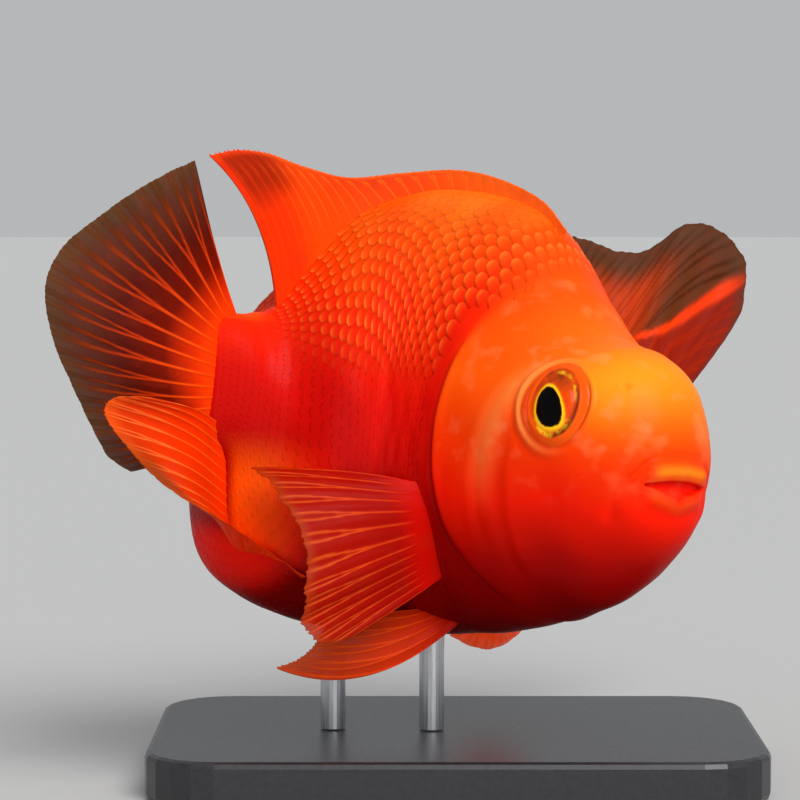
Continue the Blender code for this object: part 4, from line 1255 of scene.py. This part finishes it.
def make_paired_fins(low_flank):
    """Pectoral and pelvic fins of both sides, each from its own rays, thickness and colours."""
    near_tint = layered(rgb(206, 8, 0), stops((0.0, 196, 6, 0), (0.3, 164, 8, 0), (1.0, 172, 20, 2)),
                        stops((0.0, 222, 46, 5), (0.5, 214, 62, 12), (1.0, 206, 78, 26)), rgb(172, 50, 14),
                        0.16, 0.9)
    near = dict(FIN_LOOK, ripple=0.3, fray=0.04, notch=0.015, seed=4, root=2.6, lobe=0.14, tint=near_tint,
                solid=solidity(0.95, 0.76))
    far = dict(FIN_LOOK, ripple=0.3, notch=0.003, seed=6, per_ray=18, sweep=0.6, tint=far_pectoral_tint,
               solid=solidity(0.98, 0.86))
    for (side, word), shape, look in zip(SIDES, (NEAR_PECTORAL, FAR_PECTORAL), (near, far)):
        make_fin("pectoral_fin_" + word + "_rays", partial(paired_grid, side, *shape, PECTORAL_BOW),
                 PECTORAL_RAYS, ((0.45, 0.20), (0.75, 0.09)), 100, look, "pectoral_fin_" + word)
    rays = stops((0.0, 234, 58, 8), (1.0, 226, 78, 20))
    # Both pelvic fins glow a little and the far one more, with a brighter web: painted light for light let
    # through the fin in the shade under the belly.
    for (side, word), shape, web, glow in zip(SIDES, (NEAR_PELVIC, FAR_PELVIC),
                                              (rgb(198, 26, 1), rgb(255, 66, 4)), (0.02, 0.4)):
        outer_web = blend(web, rgb(220, 80, 20), 0.5)
        tint = layered(blend(low_flank, web, 0.6), [(0.0, web), (1.0, outer_web)], rays, rgb(212, 72, 18),
                       0.1, 0.85)
        look = dict(FIN_LOOK, ripple=0.15, notch=0.01, per_ray=24, solid=solidity(0.96, 0.82), seed=8 + side,
                    tint=tint, glow=glow)
        make_fin("pelvic_fin_" + word + "_rays", partial(paired_grid, side, *shape, PELVIC_BOW),
                 PELVIC_RAYS, ((0.3, 0.22), (0.6, 0.1)), 90, look, "pelvic_fin_" + word)


class CICHLID_OT_stand(bpy.types.Operator):
    """Finish of the display base and its rods"""
    bl_idname = "cichlid.stand"
    bl_label = "Stand"

    def execute(self, context):
        black = plain_material("satin black", (0.018, 0.018, 0.021), 0.32, 0.0, (1.0, 1.0, 1.0), 900.0)
        steel = plain_material("brushed steel", (0.52, 0.53, 0.55), 0.28, 1.0, (1.0, 1.0, 0.04), 2500.0)
        for name, finish in (("stand_base", black), ("stand_rod_front", steel), ("stand_rod_rear", steel)):
            coat_with(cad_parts[name], finish)
        return {"FINISHED"}


class CICHLID_OT_stage(bpy.types.Operator):
    """Pale floor, soft light and the camera"""
    bl_idname = "cichlid.stage"
    bl_label = "Stage"

    def execute(self, context):
        scene = context.scene
        make_floor()
        make_lights(scene, scene.cichlid_stage)
        make_camera(scene, scene.cichlid_stage)
        scene.view_settings.view_transform = "Standard"
        return {"FINISHED"}


def make_floor():
    """Large round floor: a fan of triangles in the plane of the base's underside."""
    corner = np.arange(FLOOR_SIDES)
    turn = 2 * np.pi * corner / FLOOR_SIDES
    ring = np.stack([np.cos(turn), np.sin(turn), np.zeros(FLOOR_SIDES)], -1) * FLOOR_RADIUS
    faces = np.stack([corner, (corner + 1) % FLOOR_SIDES, np.full(FLOOR_SIDES, FLOOR_SIDES)], 1)
    mesh = bpy.data.meshes.new("floor")
    mesh.from_pydata((np.concatenate([ring, [[0.0, 0.0, 0.0]]]) * MM).tolist(), [], faces.tolist())
    floor = bpy.data.objects.new("floor", mesh)
    bpy.context.scene.collection.objects.link(floor)
    material, tree, shader = new_material("pale floor")
    feed(shader, Base_Color=(0.52, 0.52, 0.51), Roughness=0.6)
    coat_with(floor, material)


def aim(obj, target):
    """Turn a lamp or camera to face a target."""
    obj.rotation_euler = (Vector(target) - obj.location).to_track_quat("-Z", "Y").to_euler()


def make_lights(scene, settings):
    """Wide soft sun from above the head's side, a low fill, and a pale world."""
    for name, kind, spot, size, power in (("key", "SUN", (0.34, -0.60, 0.76), 0.6, settings.key_power),
                                          ("fill", "AREA", (0.05, -0.85, 0.05), 0.7, settings.fill_power)):
        data = bpy.data.lights.new(name, kind)
        data.energy = power
        setattr(data, "angle" if kind == "SUN" else "size", size)
        light = bpy.data.objects.new(name, data)
        light.location = spot
        scene.collection.objects.link(light)
        aim(light, (0.0, 0.0, LIFT * MM))
    world = bpy.data.worlds.new("pale world")
    scene.world = world
    world.use_nodes = True
    feed(world.node_tree.nodes["Background"], Color=(0.80, 0.82, 0.84), Strength=0.58)


def make_camera(scene, settings):
    """Camera level with the fish, aimed a little to the tail's side as the photo is framed."""
    data = bpy.data.cameras.new("camera")
    data.lens = settings.lens
    data.sensor_width = SENSOR_WIDTH
    camera = bpy.data.objects.new("camera", data)
    target = Vector(lift(CAMERA_AIM) * MM)
    back = Vector((0.0, -np.cos(settings.elevation), np.sin(settings.elevation)))
    camera.location = target + settings.distance * back
    scene.collection.objects.link(camera)
    aim(camera, target)
    scene.camera = camera


class CICHLID_PT_panel(bpy.types.Panel):
    """Pieces of the model and their settings"""
    bl_label = "Cichlid"
    bl_space_type = "VIEW_3D"
    bl_region_type = "UI"
    bl_category = "Cichlid"

    def draw(self, context):
        for operator in OPERATORS:
            self.layout.operator(operator.bl_idname)
        for name, kind in SETTINGS:
            settings = getattr(context.scene, name)
            column = self.layout.column()
            for key in setting_names(settings):
                column.prop(settings, key)


OPERATORS = (CICHLID_OT_skin, CICHLID_OT_scales, CICHLID_OT_eyes, CICHLID_OT_fins, CICHLID_OT_stand,
             CICHLID_OT_stage)
SETTINGS = (("cichlid_skin", CichlidSkinSettings), ("cichlid_colours", CichlidColourSettings),
            ("cichlid_stage", CichlidStageSettings))


def register():
    """Register settings, operators and panel."""
    for name, settings in SETTINGS:
        bpy.utils.register_class(settings)
        setattr(bpy.types.Scene, name, PointerProperty(type=settings))
    for item in (*OPERATORS, CICHLID_PT_panel):
        bpy.utils.register_class(item)


def unregister():
    """Take away panel, operators and settings."""
    for item in (CICHLID_PT_panel, *reversed(OPERATORS)):
        bpy.utils.unregister_class(item)
    for name, settings in reversed(SETTINGS):
        delattr(bpy.types.Scene, name)
        bpy.utils.unregister_class(settings)


def main():
    """Build every piece and the stage."""
    register()
    bpy.ops.cichlid.skin()
    bpy.ops.cichlid.scales()
    bpy.ops.cichlid.eyes()
    bpy.ops.cichlid.fins()
    bpy.ops.cichlid.stand()
    bpy.ops.cichlid.stage()


if __name__ == "__main__":
    main()
